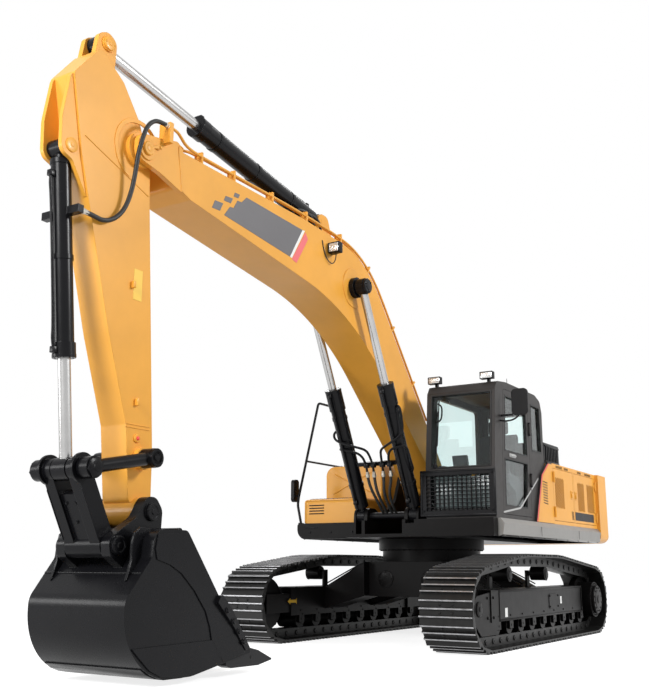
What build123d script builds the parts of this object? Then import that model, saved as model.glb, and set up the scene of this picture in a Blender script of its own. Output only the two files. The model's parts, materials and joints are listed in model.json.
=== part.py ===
# Crawler excavator of the 36 tonne class, parked with its boom out and its bucket by the ground.
# Millimetres. X points forward along the boom, Y to the left (cab side), Z up.
# The origin is on the ground under the swing centre.
from build123d import *
from math import pi, radians, tan
import os

os.makedirs("parts", exist_ok=True)

# Clearances
FIT = 0.3            # a pin, shaft or pane in its seat
RUN = 5              # between pieces that move past each other
LAP = 2              # how far fused pieces run into each other

# Crawler tracks
TRACK_GAUGE = 2590
SHOE_WIDTH = 600
SHOE_COUNT = 48
GROUSER = 26         # how far a grouser stands out of its shoe plate
PLATE_T = 14
SHOE_DEPTH = GROUSER + PLATE_T
PIN_DEPTH = 90       # the chain's pins, below the grouser tips
LINK_DEPTH = 108
LINK_WIDTH = 190
TRACK_END_R = 450    # over the grouser tips round the idler and the sprocket
IDLER_X = 2010
SPROCKET_X = -2030
CARRIER_X = (830, -450)
CARRIER_TOP = 1040   # the top run over the carrier rollers
TRACK_DEPTH = SHOE_DEPTH + LINK_DEPTH
# A shoe's outside, as its place along the shoe and its depth below the grouser tips: three grousers
SHOE_OUTSIDE = ((12, GROUSER), (19, 0), (33, 0), (41, GROUSER), (92, GROUSER), (100, 0), (115, 0), (123, GROUSER),
                (174, GROUSER), (182, 0), (197, 0))
SHOE_INSIDE = ((108, SHOE_DEPTH),)
WHEEL_R = TRACK_END_R - TRACK_DEPTH - FIT

# Rollers and track frames
ROLLER_R = 100
ROLLER_HALF = 140
ROLLER_X = [1400 - 380 * i for i in range(9)]
CARRIER_R = 85
BEARING_T = 30       # blocks that hold the rollers
FRAME_HALF = 170     # half width of a track frame
FRAME_LOW = 300
FRAME_HIGH = 640
FRAME_FRONT = 1640
FRAME_REAR = -1650
FRAME_WALL = 16
YOKE_T = 75
IDLER_HALF = 75
HUB_R = 110
DRIVE_R = 235        # final drive drum
DRIVE_OUT = 280      # how far the drive's cover stands out of the track's middle
DRIVE_COVER_R = 190
MOTOR_R = 150

# Carbody and swing bearing
CARBODY_HALF_X = 720
CARBODY_HALF_Y = 560
CARBODY_LOW = 520
CARBODY_HIGH = 950
LEG_X = 380          # where a leg starts
LEG_LENGTH = 480
RING_R = 640
RING_T = 110
RING_TOP = 1100
BEARING_R = 690
DECK_LOW = 1235
DECK_TOP = 1440

# Revolving frame
FLOOR_T = 40
DECK_HALF = 1420
DECK_REAR = -2690
TAIL_R = 750 - DECK_REAR
DECK_FRONT_LEFT = 1340
DECK_FRONT_RIGHT = 880
DECK_WALL = 15
FLOOR_HALF = 540
SILL_OUT = DECK_HALF + 80
LUG_T = 45
BUMPER_T = 70

# Pins of the working gear in the side view: x, z
BOOM_FOOT = (100, 1980)
BOOM_NOSE = (6000, 4380)
BOOM_CYLINDER_FOOT = (1170, 1500)
BOOM_CYLINDER_ROD = (2460, 4040)
ARM_CYLINDER_FOOT = (2900, 4740)
ARM_CYLINDER_ROD = (6390, 5220)
BUCKET_CYLINDER_FOOT = (6735, 4150)
BUCKET_PIN = (5790, 1310)
LINK_PIN = (5800, 1740)
BUCKET_CYLINDER_ROD = (6460, 1610)
BUCKET_LINK_PIN = (6155, 1040)

# Working gear
BOOM_WIDTH = 480
BOOM_WEB = 14
BOOM_FOOT_HALF = 250
BOOM_FOOT_R = 180
BOOM_FOOT_PIN_R = 70
NOSE_PLATE_T = 50
NOSE_PIN_R = 60
ARM_BOSS_R = 155
ARM_WIDTH = 280
ARM_WEB = 12
BOOM_CYLINDER_Y = 360
BUCKET_WIDTH = 1200
BUCKET_SIDE_T = 28
BUCKET_SHELL_T = 25
EAR_IN = 195
EAR_OUT = 285
LINK_IN = 195        # side links
LINK_OUT = 305

# Hydraulic cylinders
EYE_WIDTH = 100
BOOM_BARREL = (1670, 88, 72, 48, 265)      # length from the foot pin, outer radius, bore, rod radius, collar
ARM_BARREL = (2210, 100, 82, 55, 120)
BUCKET_BARREL = (1700, 80, 66, 50, 120)
GLAND = 60
PIPE_BAR_AT = 660    # the pipes' bar between the boom cylinders, along them from their feet

# Counterweight and house
WEIGHT_HALF = SILL_OUT
HOUSE_TOP = 2240
HOUSE_FRONT = -725
HOUSE_HALF = DECK_HALF + 30
HOUSE_WALL = 30
TANK_IN = 560        # inner side of the tanks and the tool box
TANK_WALL = 10

# Cab
CAB_LEFT = DECK_HALF
CAB_WIDTH = 885
CAB_RIGHT = CAB_LEFT - CAB_WIDTH
CAB_WALL = 55
CAB_FLOOR = DECK_TOP
GLASS_T = 6


def side_plane(y):
    """The side view at this y: x forward and z up. It grows towards the right-hand side."""
    return Plane.XZ.offset(-y)


def slab(points, y_a, y_b, mode=Mode.ADD):
    """A plate across the machine from y_a to y_b. Each corner is x, z and its rounding."""
    with BuildSketch(side_plane(max(y_a, y_b))) as outline:
        with BuildLine():
            FilletPolyline(*[(x, z) for x, z, r in points], radius=[r for x, z, r in points], close=True)
        make_face()
    extrude(outline.sketch, amount=abs(y_b - y_a), mode=mode)


def cross_pin(place, radius, y_a, y_b, mode=Mode.ADD):
    """A round bar or hole across the machine at that x and z."""
    with Locations((place[0], (y_a + y_b) / 2, place[1])):
        Cylinder(radius, abs(y_b - y_a), rotation=(90, 0, 0), mode=mode)


def block(x_a, x_b, y_a, y_b, z_a, z_b, mode=Mode.ADD):
    """A box between two corners."""
    with Locations(((x_a + x_b) / 2, (y_a + y_b) / 2, (z_a + z_b) / 2)):
        Box(abs(x_b - x_a), abs(y_b - y_a), abs(z_b - z_a), mode=mode)


def along(start, end, y=0):
    """The plane at a pin that looks towards another pin."""
    return Plane((start[0], y, start[1]), x_dir=(0, 1, 0), z_dir=(end[0] - start[0], 0, end[1] - start[1]))


def bar(plane, near, far, radius, mode=Mode.ADD):
    """A round bar or bore along the plane's normal."""
    with BuildSketch(plane.offset(near)) as ring:
        Circle(radius)
    extrude(ring.sketch, amount=far - near, mode=mode)


def distance(a, b):
    return ((a[0] - b[0]) ** 2 + (a[1] - b[1]) ** 2) ** 0.5


def around(place, offsets):
    """Corners given from a pin: dx, dz and the rounding."""
    return [(place[0] + dx, place[1] + dz, r) for dx, dz, r in offsets]


def save(builder, label):
    builder.part.label = label
    export_step(builder.part, f"parts/{label}.step")


def track_loop(y, depth):
    """The track's side outline at that depth below its grouser tips."""
    with BuildSketch(side_plane(y)) as loop:
        with Locations((IDLER_X, TRACK_END_R), (SPROCKET_X, TRACK_END_R)):
            Circle(TRACK_END_R - depth)
        with Locations(*[(x, CARRIER_TOP - TRACK_DEPTH - CARRIER_R) for x in CARRIER_X]):
            Circle(CARRIER_R + TRACK_DEPTH - depth)
        make_hull()
    return loop.sketch


def shoe_loop(y, profile):
    """The track's side outline along its flat shoes, each between two pins, one of them over the origin."""
    chain = track_loop(y, PIN_DEPTH).wire()
    pitch = chain.length / SHOE_COUNT
    places = [chain.position_at(i * pitch, position_mode=PositionMode.LENGTH) for i in range(SHOE_COUNT)]
    nearest = min(places, key=lambda place: abs(place.X) + place.Z)
    following = places[(places.index(nearest) + 1) % SHOE_COUNT]
    turning = 1 if following.X > nearest.X else -1
    start = pitch / 2 - turning * nearest.X
    pins = [chain.position_at((start + i * pitch) % chain.length, position_mode=PositionMode.LENGTH)
            for i in range(SHOE_COUNT)]
    corners = []
    for pin, following in zip(pins, pins[1:] + pins[:1]):
        ahead = (following - pin).normalized()
        for place, depth in profile:
            out = PIN_DEPTH - depth
            corners.append((pin.X + ahead.X * place + turning * ahead.Z * out,
                            pin.Z + ahead.Z * place - turning * ahead.X * out))
    with BuildSketch(side_plane(y)) as loop:
        with BuildLine():
            Polyline(*corners, close=True)
        make_face()
    return loop.sketch


def crawler_track(centre):
    """One track: its shoes with their grousers, and the link chain inside them."""
    with BuildPart() as track:
        edge = centre + SHOE_WIDTH / 2
        extrude(shoe_loop(edge, SHOE_OUTSIDE), amount=SHOE_WIDTH)
        extrude(shoe_loop(edge, SHOE_INSIDE), amount=SHOE_WIDTH, mode=Mode.SUBTRACT)
        extrude(shoe_loop(centre + LINK_WIDTH / 2, SHOE_INSIDE), amount=LINK_WIDTH)
        extrude(track_loop(edge, TRACK_DEPTH), amount=SHOE_WIDTH, mode=Mode.SUBTRACT)
    return track


def track_frame(centre, side):
    """One track frame: a channel that is open below, with the idler's yoke in front, the drive's
    plate behind, blocks for the track rollers and arms for the carrier rollers."""
    inboard = centre - side * FRAME_HALF
    outboard = centre + side * FRAME_HALF
    with BuildPart() as frame:
        block(FRAME_REAR, FRAME_FRONT, inboard, outboard, FRAME_LOW, FRAME_HIGH)
        block(FRAME_REAR - LAP, FRAME_FRONT - FRAME_WALL, inboard + side * FRAME_WALL, outboard - side * FRAME_WALL,
              FRAME_LOW - LAP, FRAME_HIGH - FRAME_WALL, mode=Mode.SUBTRACT)
        for face in (1, -1):
            block(FRAME_FRONT - 140, IDLER_X + HUB_R + 20, centre + face * (IDLER_HALF + RUN),
                  centre + face * (IDLER_HALF + RUN + YOKE_T), TRACK_END_R - HUB_R, TRACK_END_R + HUB_R)
        slab([(FRAME_FRONT - 260, FRAME_LOW + 20, 0), (FRAME_FRONT - 140, TRACK_DEPTH + 20, 60),
              (IDLER_X - 90, TRACK_DEPTH + 20, 90), (IDLER_X + 80, FRAME_LOW, 100), (IDLER_X + 80, FRAME_HIGH - 60, 100),
              (FRAME_FRONT - 260, FRAME_HIGH, 0)],
             centre + side * (IDLER_HALF + RUN + YOKE_T - LAP), centre + side * (FRAME_HALF + 5))
        slab([(FRAME_REAR + 200, FRAME_LOW, 0), (FRAME_REAR + 200, FRAME_HIGH, 0), (SPROCKET_X, FRAME_HIGH, 120),
              (SPROCKET_X - 220, TRACK_END_R, 120), (SPROCKET_X, FRAME_LOW, 100)],
             inboard, inboard - side * BEARING_T)
        for x in ROLLER_X:
            for face in (1, -1):
                block(x - 55, x + 55, centre + face * (ROLLER_HALF + FIT), centre + face * FRAME_HALF,
                      TRACK_DEPTH + ROLLER_R - 35, FRAME_LOW + 60)
        for x in CARRIER_X:
            block(x - 45, x + 45, centre - side * (ROLLER_HALF + FIT), inboard, FRAME_HIGH - LAP,
                  CARRIER_TOP - TRACK_DEPTH - CARRIER_R + 40)
    return frame


def hydraulic_barrel(foot, eye, y, sizes, eye_r, pin_r, eye_half=EYE_WIDTH / 2):
    """A cylinder's barrel: an eye at its foot, a bored tube and a gland that its rod runs in."""
    length, outer, bore, rod_r, collar = sizes
    line = along(foot, eye, y)
    bar(line, 0, eye_r + 60, EYE_WIDTH / 2 - LAP)
    bar(line, eye_r + 35, length - GLAND, outer)
    bar(line, length - collar, length, outer + 12)
    cross_pin(foot, eye_r, y - eye_half, y + eye_half)
    bar(line, eye_r + 60, length - GLAND, bore, mode=Mode.SUBTRACT)
    bar(line, length - GLAND - LAP, length + LAP, rod_r + FIT, mode=Mode.SUBTRACT)
    cross_pin(foot, pin_r + FIT, y - EYE_WIDTH, y + EYE_WIDTH, mode=Mode.SUBTRACT)


def hydraulic_rod(foot, eye, y, sizes, reach, eye_r, eye_half):
    """A cylinder's rod: reach is how far it runs into the barrel from the gland's mouth."""
    length, outer, bore, rod_r, collar = sizes
    line = along(foot, eye, y)
    bar(line, length - reach, distance(foot, eye), rod_r)
    cross_pin(eye, eye_r, y - eye_half, y + eye_half)


# Undercarriage
for side, hand in ((1, "left"), (-1, "right")):
    middle = side * TRACK_GAUGE / 2
    save(crawler_track(middle), f"crawler_track_{hand}")
    save(track_frame(middle, side), f"track_frame_{hand}")

with BuildPart() as idlers:
    for side in (1, -1):
        middle = side * TRACK_GAUGE / 2
        cross_pin((IDLER_X, TRACK_END_R), WHEEL_R, middle - IDLER_HALF, middle + IDLER_HALF)
        reach = IDLER_HALF + RUN - FIT
        cross_pin((IDLER_X, TRACK_END_R), HUB_R, middle - reach, middle + reach)
save(idlers, "idlers")

with BuildPart() as final_drives:
    for side in (1, -1):
        middle = side * TRACK_GAUGE / 2
        axle = (SPROCKET_X, TRACK_END_R)
        cross_pin(axle, WHEEL_R, middle - 40, middle + 40)
        cross_pin(axle, DRIVE_R, middle, middle + side * (DRIVE_OUT - 30))
        cross_pin(axle, DRIVE_COVER_R, middle, middle + side * DRIVE_OUT)
        cross_pin(axle, MOTOR_R, middle, middle - side * (FRAME_HALF - FIT))
save(final_drives, "final_drives")

with BuildPart() as track_rollers:
    for side in (1, -1):
        middle = side * TRACK_GAUGE / 2
        for x in ROLLER_X:
            cross_pin((x, TRACK_DEPTH + ROLLER_R + FIT), ROLLER_R, middle - ROLLER_HALF, middle + ROLLER_HALF)
save(track_rollers, "track_rollers")

with BuildPart() as carrier_rollers:
    for side in (1, -1):
        middle = side * TRACK_GAUGE / 2
        for x in CARRIER_X:
            place = (x, CARRIER_TOP - TRACK_DEPTH - CARRIER_R)
            cross_pin(place, CARRIER_R - FIT, middle - 95, middle + 95)
            cross_pin(place, 32, middle, middle - side * ROLLER_HALF)
save(carrier_rollers, "carrier_rollers")

with BuildPart() as carbody:
    block(-CARBODY_HALF_X, CARBODY_HALF_X, -CARBODY_HALF_Y, CARBODY_HALF_Y, CARBODY_LOW, CARBODY_HIGH)
    block(-CARBODY_HALF_X + 25, CARBODY_HALF_X - 25, -CARBODY_HALF_Y + 25, CARBODY_HALF_Y - 25,
          CARBODY_LOW + 25, CARBODY_HIGH - 25, mode=Mode.SUBTRACT)
    with Locations((0, 0, (CARBODY_HIGH + RING_TOP) / 2 - LAP)):
        Cylinder(RING_R, RING_TOP - CARBODY_HIGH + LAP * 2)
    with Locations((0, 0, RING_TOP)):
        Cylinder(RING_R - RING_T, 400, mode=Mode.SUBTRACT)
    frame_face = TRACK_GAUGE / 2 - FRAME_HALF
    for start in (LEG_X, -LEG_X - LEG_LENGTH):
        for side in (1, -1):
            with BuildSketch(Plane.YZ.offset(start)) as leg:
                with BuildLine():
                    Polyline((side * (CARBODY_HALF_Y - 20), CARBODY_HIGH - 5),
                             (side * (CARBODY_HALF_Y - 20), CARBODY_LOW + 5),
                             (side * frame_face, FRAME_LOW + 60), (side * frame_face, FRAME_HIGH - 10), close=True)
                make_face()
            extrude(leg.sketch, amount=LEG_LENGTH)
save(carbody, "carbody")

# Upper structure
with BuildPart() as swing_bearing:
    with Locations((0, 0, (RING_TOP + FIT + DECK_LOW) / 2)):
        Cylinder(BEARING_R, DECK_LOW - RING_TOP - FIT)
        Cylinder(RING_R - RING_T, DECK_LOW - RING_TOP, mode=Mode.SUBTRACT)
save(swing_bearing, "swing_bearing")

LUG_IN = BOOM_FOOT_HALF + RUN
EYE_IN = BOOM_CYLINDER_Y - EYE_WIDTH / 2
EYE_OUT = BOOM_CYLINDER_Y + EYE_WIDTH / 2
LUG_TOP = [(-95, 95, 90), (95, 95, 90), (110, -60, 0)]
with BuildPart() as revolving_frame:
    block(DECK_REAR, DECK_FRONT_LEFT, -FLOOR_HALF, FLOOR_HALF, DECK_LOW, DECK_LOW + FLOOR_T)
    for side, front in ((1, DECK_FRONT_LEFT), (-1, DECK_FRONT_RIGHT)):
        block(DECK_REAR, front, side * LUG_IN, side * DECK_HALF, DECK_LOW, DECK_TOP)
        block(DECK_REAR + DECK_WALL, front - DECK_WALL, side * (LUG_IN + LUG_T), side * (DECK_HALF - DECK_WALL),
              DECK_LOW + FLOOR_T, DECK_TOP - DECK_WALL, mode=Mode.SUBTRACT)
        block(DECK_REAR + DECK_WALL, front - DECK_WALL, side * FLOOR_HALF, side * (DECK_HALF - DECK_WALL),
              DECK_LOW - LAP, DECK_TOP - DECK_WALL, mode=Mode.SUBTRACT)
        slab([(DECK_REAR, DECK_LOW + LAP, 0), (DECK_REAR, DECK_TOP, 0), (-1000, DECK_TOP, 200),
              (BOOM_FOOT[0] - 330, 1900, 200), (BOOM_FOOT[0] - 150, BOOM_FOOT[1] + 200, 150),
              (BOOM_FOOT[0] + 190, BOOM_FOOT[1] + 200, 150), (BOOM_FOOT[0] + 420, 1700, 200),
              (BOOM_CYLINDER_FOOT[0] - 250, BOOM_CYLINDER_FOOT[1] + 20, 150)]
             + around(BOOM_CYLINDER_FOOT, LUG_TOP)
             + [(DECK_FRONT_LEFT, DECK_TOP, 0), (DECK_FRONT_LEFT, DECK_LOW + LAP, 0)],
             side * LUG_IN, side * (LUG_IN + LUG_T))
        slab([(BOOM_CYLINDER_FOOT[0] - 230, DECK_LOW + LAP, 0)] + around(BOOM_CYLINDER_FOOT, LUG_TOP)
             + [(BOOM_CYLINDER_FOOT[0] + 110, DECK_LOW + LAP, 0)],
             side * (EYE_OUT + RUN), side * (EYE_OUT + RUN + 30))
        block(BOOM_CYLINDER_FOOT[0] - 110, DECK_FRONT_LEFT + LAP, side * (LUG_IN + LUG_T), side * (EYE_OUT + RUN),
              BOOM_CYLINDER_FOOT[1] - 105, DECK_TOP + LAP, mode=Mode.SUBTRACT)
        cross_pin(BOOM_CYLINDER_FOOT, 45, side * LUG_IN, side * (EYE_OUT + RUN + 30))
    cross_pin(BOOM_FOOT, BOOM_FOOT_PIN_R, -LUG_IN - LUG_T, LUG_IN + LUG_T)
    with BuildSketch(Plane.YZ.offset(DECK_FRONT_RIGHT)) as bumper:
        with BuildLine():
            FilletPolyline((-EYE_OUT - RUN - 30, DECK_LOW), (-SILL_OUT, DECK_LOW), (-SILL_OUT, DECK_TOP),
                           (-EYE_OUT - RUN - 30, DECK_TOP), radius=[0, 130, 35, 0], close=True)
        make_face()
    extrude(bumper.sketch, amount=BUMPER_T)
save(revolving_frame, "revolving_frame")

with BuildPart() as deck_sills:
    for side, front in ((1, DECK_FRONT_LEFT - 130), (-1, DECK_FRONT_RIGHT)):
        with BuildSketch(Plane.YZ.offset(DECK_REAR)) as sill:
            with BuildLine():
                Polyline((side * DECK_HALF, DECK_LOW), (side * (SILL_OUT - 20), DECK_LOW + 15),
                         (side * SILL_OUT, DECK_TOP - 60), (side * (HOUSE_HALF + RUN), DECK_TOP),
                         (side * DECK_HALF, DECK_TOP), close=True)
            make_face()
        extrude(sill.sketch, amount=front - DECK_REAR)
save(deck_sills, "deck_sills")

with BuildPart() as counterweight:
    with BuildSketch(Plane.XY.offset(DECK_LOW)) as plan:
        Circle(TAIL_R)
        with Locations((DECK_REAR - TAIL_R / 2, 0)):
            Rectangle(TAIL_R, WEIGHT_HALF * 2, mode=Mode.INTERSECT)
    extrude(plan.sketch, amount=HOUSE_TOP - DECK_LOW)
    fillet(counterweight.faces().sort_by(Axis.Z)[0].edges().filter_by(Plane.XY)
           .sort_by(Axis.X)[:-1], 110)
save(counterweight, "counterweight")

with BuildPart() as engine_block:
    block(-2350, -1250, -480, 170, DECK_TOP, 2050)
save(engine_block, "engine_block")

KNUCKLE_R = 14
KNUCKLE_OUT = KNUCKLE_R + FIT
KNUCKLE_HALF = 30    # half height of the moving knuckle
LEAF_T = 6
DOOR_LEAF = 60
FIXED_LEAF = 22


def upright_hinge(x, face, side, heights, leaf):
    """The moving knuckles of a door that stands upright: leaf is the way its plate points along X."""
    for z in heights:
        with Locations((x, face + side * KNUCKLE_OUT, z)):
            Cylinder(KNUCKLE_R, KNUCKLE_HALF * 2)
        block(x, x + leaf * DOOR_LEAF, face, face + side * LEAF_T, z - KNUCKLE_HALF, z + KNUCKLE_HALF)


def fixed_knuckles(x, face, side, heights, leaf):
    """The knuckles above and below them, which stay on the frame."""
    for z in heights:
        for way in (1, -1):
            near = z + way * (KNUCKLE_HALF + FIT)
            far = z + way * (KNUCKLE_HALF + 40)
            with Locations((x, face + side * KNUCKLE_OUT, (near + far) / 2)):
                Cylinder(KNUCKLE_R, abs(far - near))
            block(x, x + leaf * FIXED_LEAF, face, face + side * LEAF_T, near, far)


CELL_HALF = 20       # half the pitch of a grille's cells
CELL_R = 16


def grille(x, columns, rows):
    """Six-sided holes through a left-hand door, around that x."""
    with BuildSketch(side_plane(HOUSE_HALF + LAP)) as cells:
        with Locations((x, GRILLE_Z)):
            with HexLocations(CELL_HALF, columns, rows):
                RegularPolygon(CELL_R, 6, major_radius=False, rotation=30)
    extrude(cells.sketch, amount=HOUSE_WALL + 2 * LAP, mode=Mode.SUBTRACT)


DOOR_HINGES = (1600, 2060)
GRILLE_Z = 1860
FRONT_GRILLE = (-1005, 11, 10)       # middle, columns, rows
REAR_GRILLES = ((-1965, 9, 10), (-2430, 10, 10))
HOOD_HINGES = (-450, 450)
DOOR_LOW = DECK_TOP + 45
DOOR_HIGH = HOUSE_TOP - 60
LEFT_DOORS = ((-745, -1600), (-1640, DECK_REAR + 30))
RIGHT_DOOR = (-1500, DECK_REAR + 30)
HOOD = (-1500, DECK_REAR + 90, 700)
with BuildPart() as house:
    block(DECK_REAR, HOUSE_FRONT, -HOUSE_HALF, HOUSE_HALF, DECK_TOP, HOUSE_TOP)
    block(DECK_REAR - LAP, HOUSE_FRONT - HOUSE_WALL, HOUSE_WALL - HOUSE_HALF, HOUSE_HALF - HOUSE_WALL,
          DECK_TOP - LAP, HOUSE_TOP - HOUSE_WALL, mode=Mode.SUBTRACT)
    for front, rear in LEFT_DOORS:
        block(rear, front, HOUSE_HALF - 2 * HOUSE_WALL, HOUSE_HALF + LAP, DOOR_LOW, DOOR_HIGH, mode=Mode.SUBTRACT)
    block(RIGHT_DOOR[1], RIGHT_DOOR[0], -HOUSE_HALF - LAP, 2 * HOUSE_WALL - HOUSE_HALF, DOOR_LOW, DOOR_HIGH,
          mode=Mode.SUBTRACT)
    block(HOOD[1], HOOD[0], -HOOD[2], HOOD[2], HOUSE_TOP - 2 * HOUSE_WALL, HOUSE_TOP + LAP, mode=Mode.SUBTRACT)
    block(HOUSE_FRONT - 2 * HOUSE_WALL, HOUSE_FRONT + LAP, -LUG_IN - LUG_T - 10, LUG_IN + LUG_T + 10,
          DECK_TOP - LAP, 1700, mode=Mode.SUBTRACT)
    fixed_knuckles(LEFT_DOORS[0][0] - RUN, HOUSE_HALF, 1, DOOR_HINGES, 1)
    fixed_knuckles(LEFT_DOORS[1][1] + RUN, HOUSE_HALF, 1, DOOR_HINGES, -1)
    fixed_knuckles(RIGHT_DOOR[1] + RUN, -HOUSE_HALF, -1, DOOR_HINGES, -1)
    for y in HOOD_HINGES:
        for way in (1, -1):
            near = y + way * (KNUCKLE_HALF + FIT)
            far = y + way * (KNUCKLE_HALF + 40)
            cross_pin((HOOD[0] - RUN, HOUSE_TOP + KNUCKLE_OUT), KNUCKLE_R, near, far)
            block(HOOD[0] - RUN, HOOD[0] - RUN + FIXED_LEAF, near, far, HOUSE_TOP, HOUSE_TOP + LEAF_T)
save(house, "house")

with BuildPart() as side_door_front:
    front, rear = LEFT_DOORS[0]
    block(rear + RUN, front - RUN, HOUSE_HALF - HOUSE_WALL, HOUSE_HALF, DOOR_LOW + RUN, DOOR_HIGH - RUN)
    grille(*FRONT_GRILLE)
    upright_hinge(front - RUN, HOUSE_HALF, 1, DOOR_HINGES, -1)
save(side_door_front, "side_door_front")

with BuildPart() as side_door_rear:
    front, rear = LEFT_DOORS[1]
    block(rear + RUN, front - RUN, HOUSE_HALF - HOUSE_WALL, HOUSE_HALF, DOOR_LOW + RUN, DOOR_HIGH - RUN)
    for place in REAR_GRILLES:
        grille(*place)
    upright_hinge(rear + RUN, HOUSE_HALF, 1, DOOR_HINGES, 1)
save(side_door_rear, "side_door_rear")

with BuildPart() as pump_door:
    front, rear = RIGHT_DOOR
    block(rear + RUN, front - RUN, -HOUSE_HALF, HOUSE_WALL - HOUSE_HALF, DOOR_LOW + RUN, DOOR_HIGH - RUN)
    upright_hinge(rear + RUN, -HOUSE_HALF, -1, DOOR_HINGES, 1)
save(pump_door, "pump_door")

with BuildPart() as engine_hood:
    front, rear, half = HOOD
    block(rear + RUN, front - RUN, RUN - half, half - RUN, HOUSE_TOP - HOUSE_WALL, HOUSE_TOP)
    for y in HOOD_HINGES:
        cross_pin((front - RUN, HOUSE_TOP + KNUCKLE_OUT), KNUCKLE_R, y - KNUCKLE_HALF, y + KNUCKLE_HALF)
        block(front - RUN - DOOR_LEAF, front - RUN, y - KNUCKLE_HALF, y + KNUCKLE_HALF, HOUSE_TOP, HOUSE_TOP + LEAF_T)
save(engine_hood, "engine_hood")

INTAKE_REAR = -1450
INTAKE_FRONT = -760
INTAKE_OUT = 1330
INTAKE_TOP = HOUSE_TOP + 300
INTAKE_SLOTS = 9
with BuildPart() as intake_box:
    block(INTAKE_REAR, INTAKE_FRONT, 760, INTAKE_OUT, HOUSE_TOP, INTAKE_TOP)
    fillet(intake_box.edges().filter_by(Axis.Z), 45)
    fillet(intake_box.faces().sort_by(Axis.Z)[-1].edges(), 20)
    for i in range(INTAKE_SLOTS):
        x = INTAKE_REAR + 85 + i * (INTAKE_FRONT - INTAKE_REAR - 170) / (INTAKE_SLOTS - 1)
        block(x - 14, x + 14, INTAKE_OUT - 22, INTAKE_OUT + LAP, HOUSE_TOP + 45, INTAKE_TOP - 45, mode=Mode.SUBTRACT)
save(intake_box, "intake_box")

with BuildPart() as side_panel:
    slab([(-40, CAB_FLOOR, 0), (-300, 2050, 0), (-560, HOUSE_TOP - 20, 0), (-560, HOUSE_TOP, 0),
          (HOUSE_FRONT + FIT, HOUSE_TOP, 0), (HOUSE_FRONT + FIT, CAB_FLOOR, 0)], CAB_LEFT + FIT, HOUSE_HALF)
save(side_panel, "side_panel")


def tank(x_a, x_b, top, shoulder, front_corner):
    """A plate tank on the right-hand deck: shoulder rounds its outer top, front_corner its front upright."""
    with BuildPart() as box:
        for gap, mode in ((0, Mode.ADD), (TANK_WALL, Mode.SUBTRACT)):
            with BuildSketch(Plane.YZ.offset(x_a + gap)) as section:
                with BuildLine():
                    FilletPolyline((gap - HOUSE_HALF, DECK_TOP + gap), (gap - HOUSE_HALF, top - gap),
                                   (-TANK_IN - gap, top - gap), (-TANK_IN - gap, DECK_TOP + gap),
                                   radius=[0, shoulder - gap, 30 - gap, 0], close=True)
                make_face()
            extrude(section.sketch, amount=x_b - x_a - 2 * gap, mode=mode)
        uprights = box.edges().filter_by(Axis.Z).group_by(Axis.X)[-1]
        fillet(uprights.sort_by(Axis.Y)[0], front_corner)
    return box


save(tank(HOUSE_FRONT + RUN, -240, HOUSE_TOP, 130, 25), "hydraulic_tank")
save(tank(-235, 310, HOUSE_TOP, 130, 25), "fuel_tank")
save(tank(315, DECK_FRONT_RIGHT - 5, 1760, 45, 60), "tool_box")

# Cab
CAB_OUTLINE = [(-500, CAB_FLOOR, 0), (1240, CAB_FLOOR, 0), (1240, 2000, 60), (1150, 2960, 60),
               (1080, 3060, 60), (800, 3090, 300), (-250, 3090, 200), (-440, 3030, 80), (-500, 2880, 60)]
CAB_INSIDE = [(-445, CAB_FLOOR + 30, 0), (1180, CAB_FLOOR + 30, 0), (1180, 1990, 60), (1095, 2940, 60),
              (1040, 3000, 60), (780, 3035, 200), (-240, 3035, 160), (-400, 2980, 60), (-445, 2860, 60)]
DOOR_OUTLINE = [(45, 1490, 30), (1015, 1490, 30), (975, 2300, 0), (890, 3000, 60), (45, 3000, 60)]
UPPER_PANE = [(115, 2240, 30), (905, 2240, 30), (845, 2930, 60), (115, 2930, 60)]
LOWER_PANE = [(180, 1590, 60), (930, 1590, 60), (910, 2160, 30), (115, 2160, 30)]
QUARTER_PANE = [(-420, 2330, 40), (-60, 2330, 40), (-60, 2950, 40), (-400, 2950, 60)]
RIGHT_PANE = [(-330, 2060, 60), (1040, 2060, 60), (960, 2930, 60), (-330, 2930, 60)]


def inset(points, gap):
    """The outline of a pane or a door, that much smaller all round."""
    with BuildSketch() as shape:
        with BuildLine():
            FilletPolyline(*[(x, z) for x, z, r in points], radius=[r for x, z, r in points], close=True)
        make_face()
        offset(amount=-gap, mode=Mode.REPLACE)
    return shape.sketch


def pane(points, gap, y_a, y_b, mode=Mode.ADD):
    """A piece that fits in an opening of the cab's side."""
    flat = inset(points, gap)
    placed = side_plane(max(y_a, y_b)).location * flat
    extrude(placed, amount=abs(y_b - y_a), mode=mode)


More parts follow.
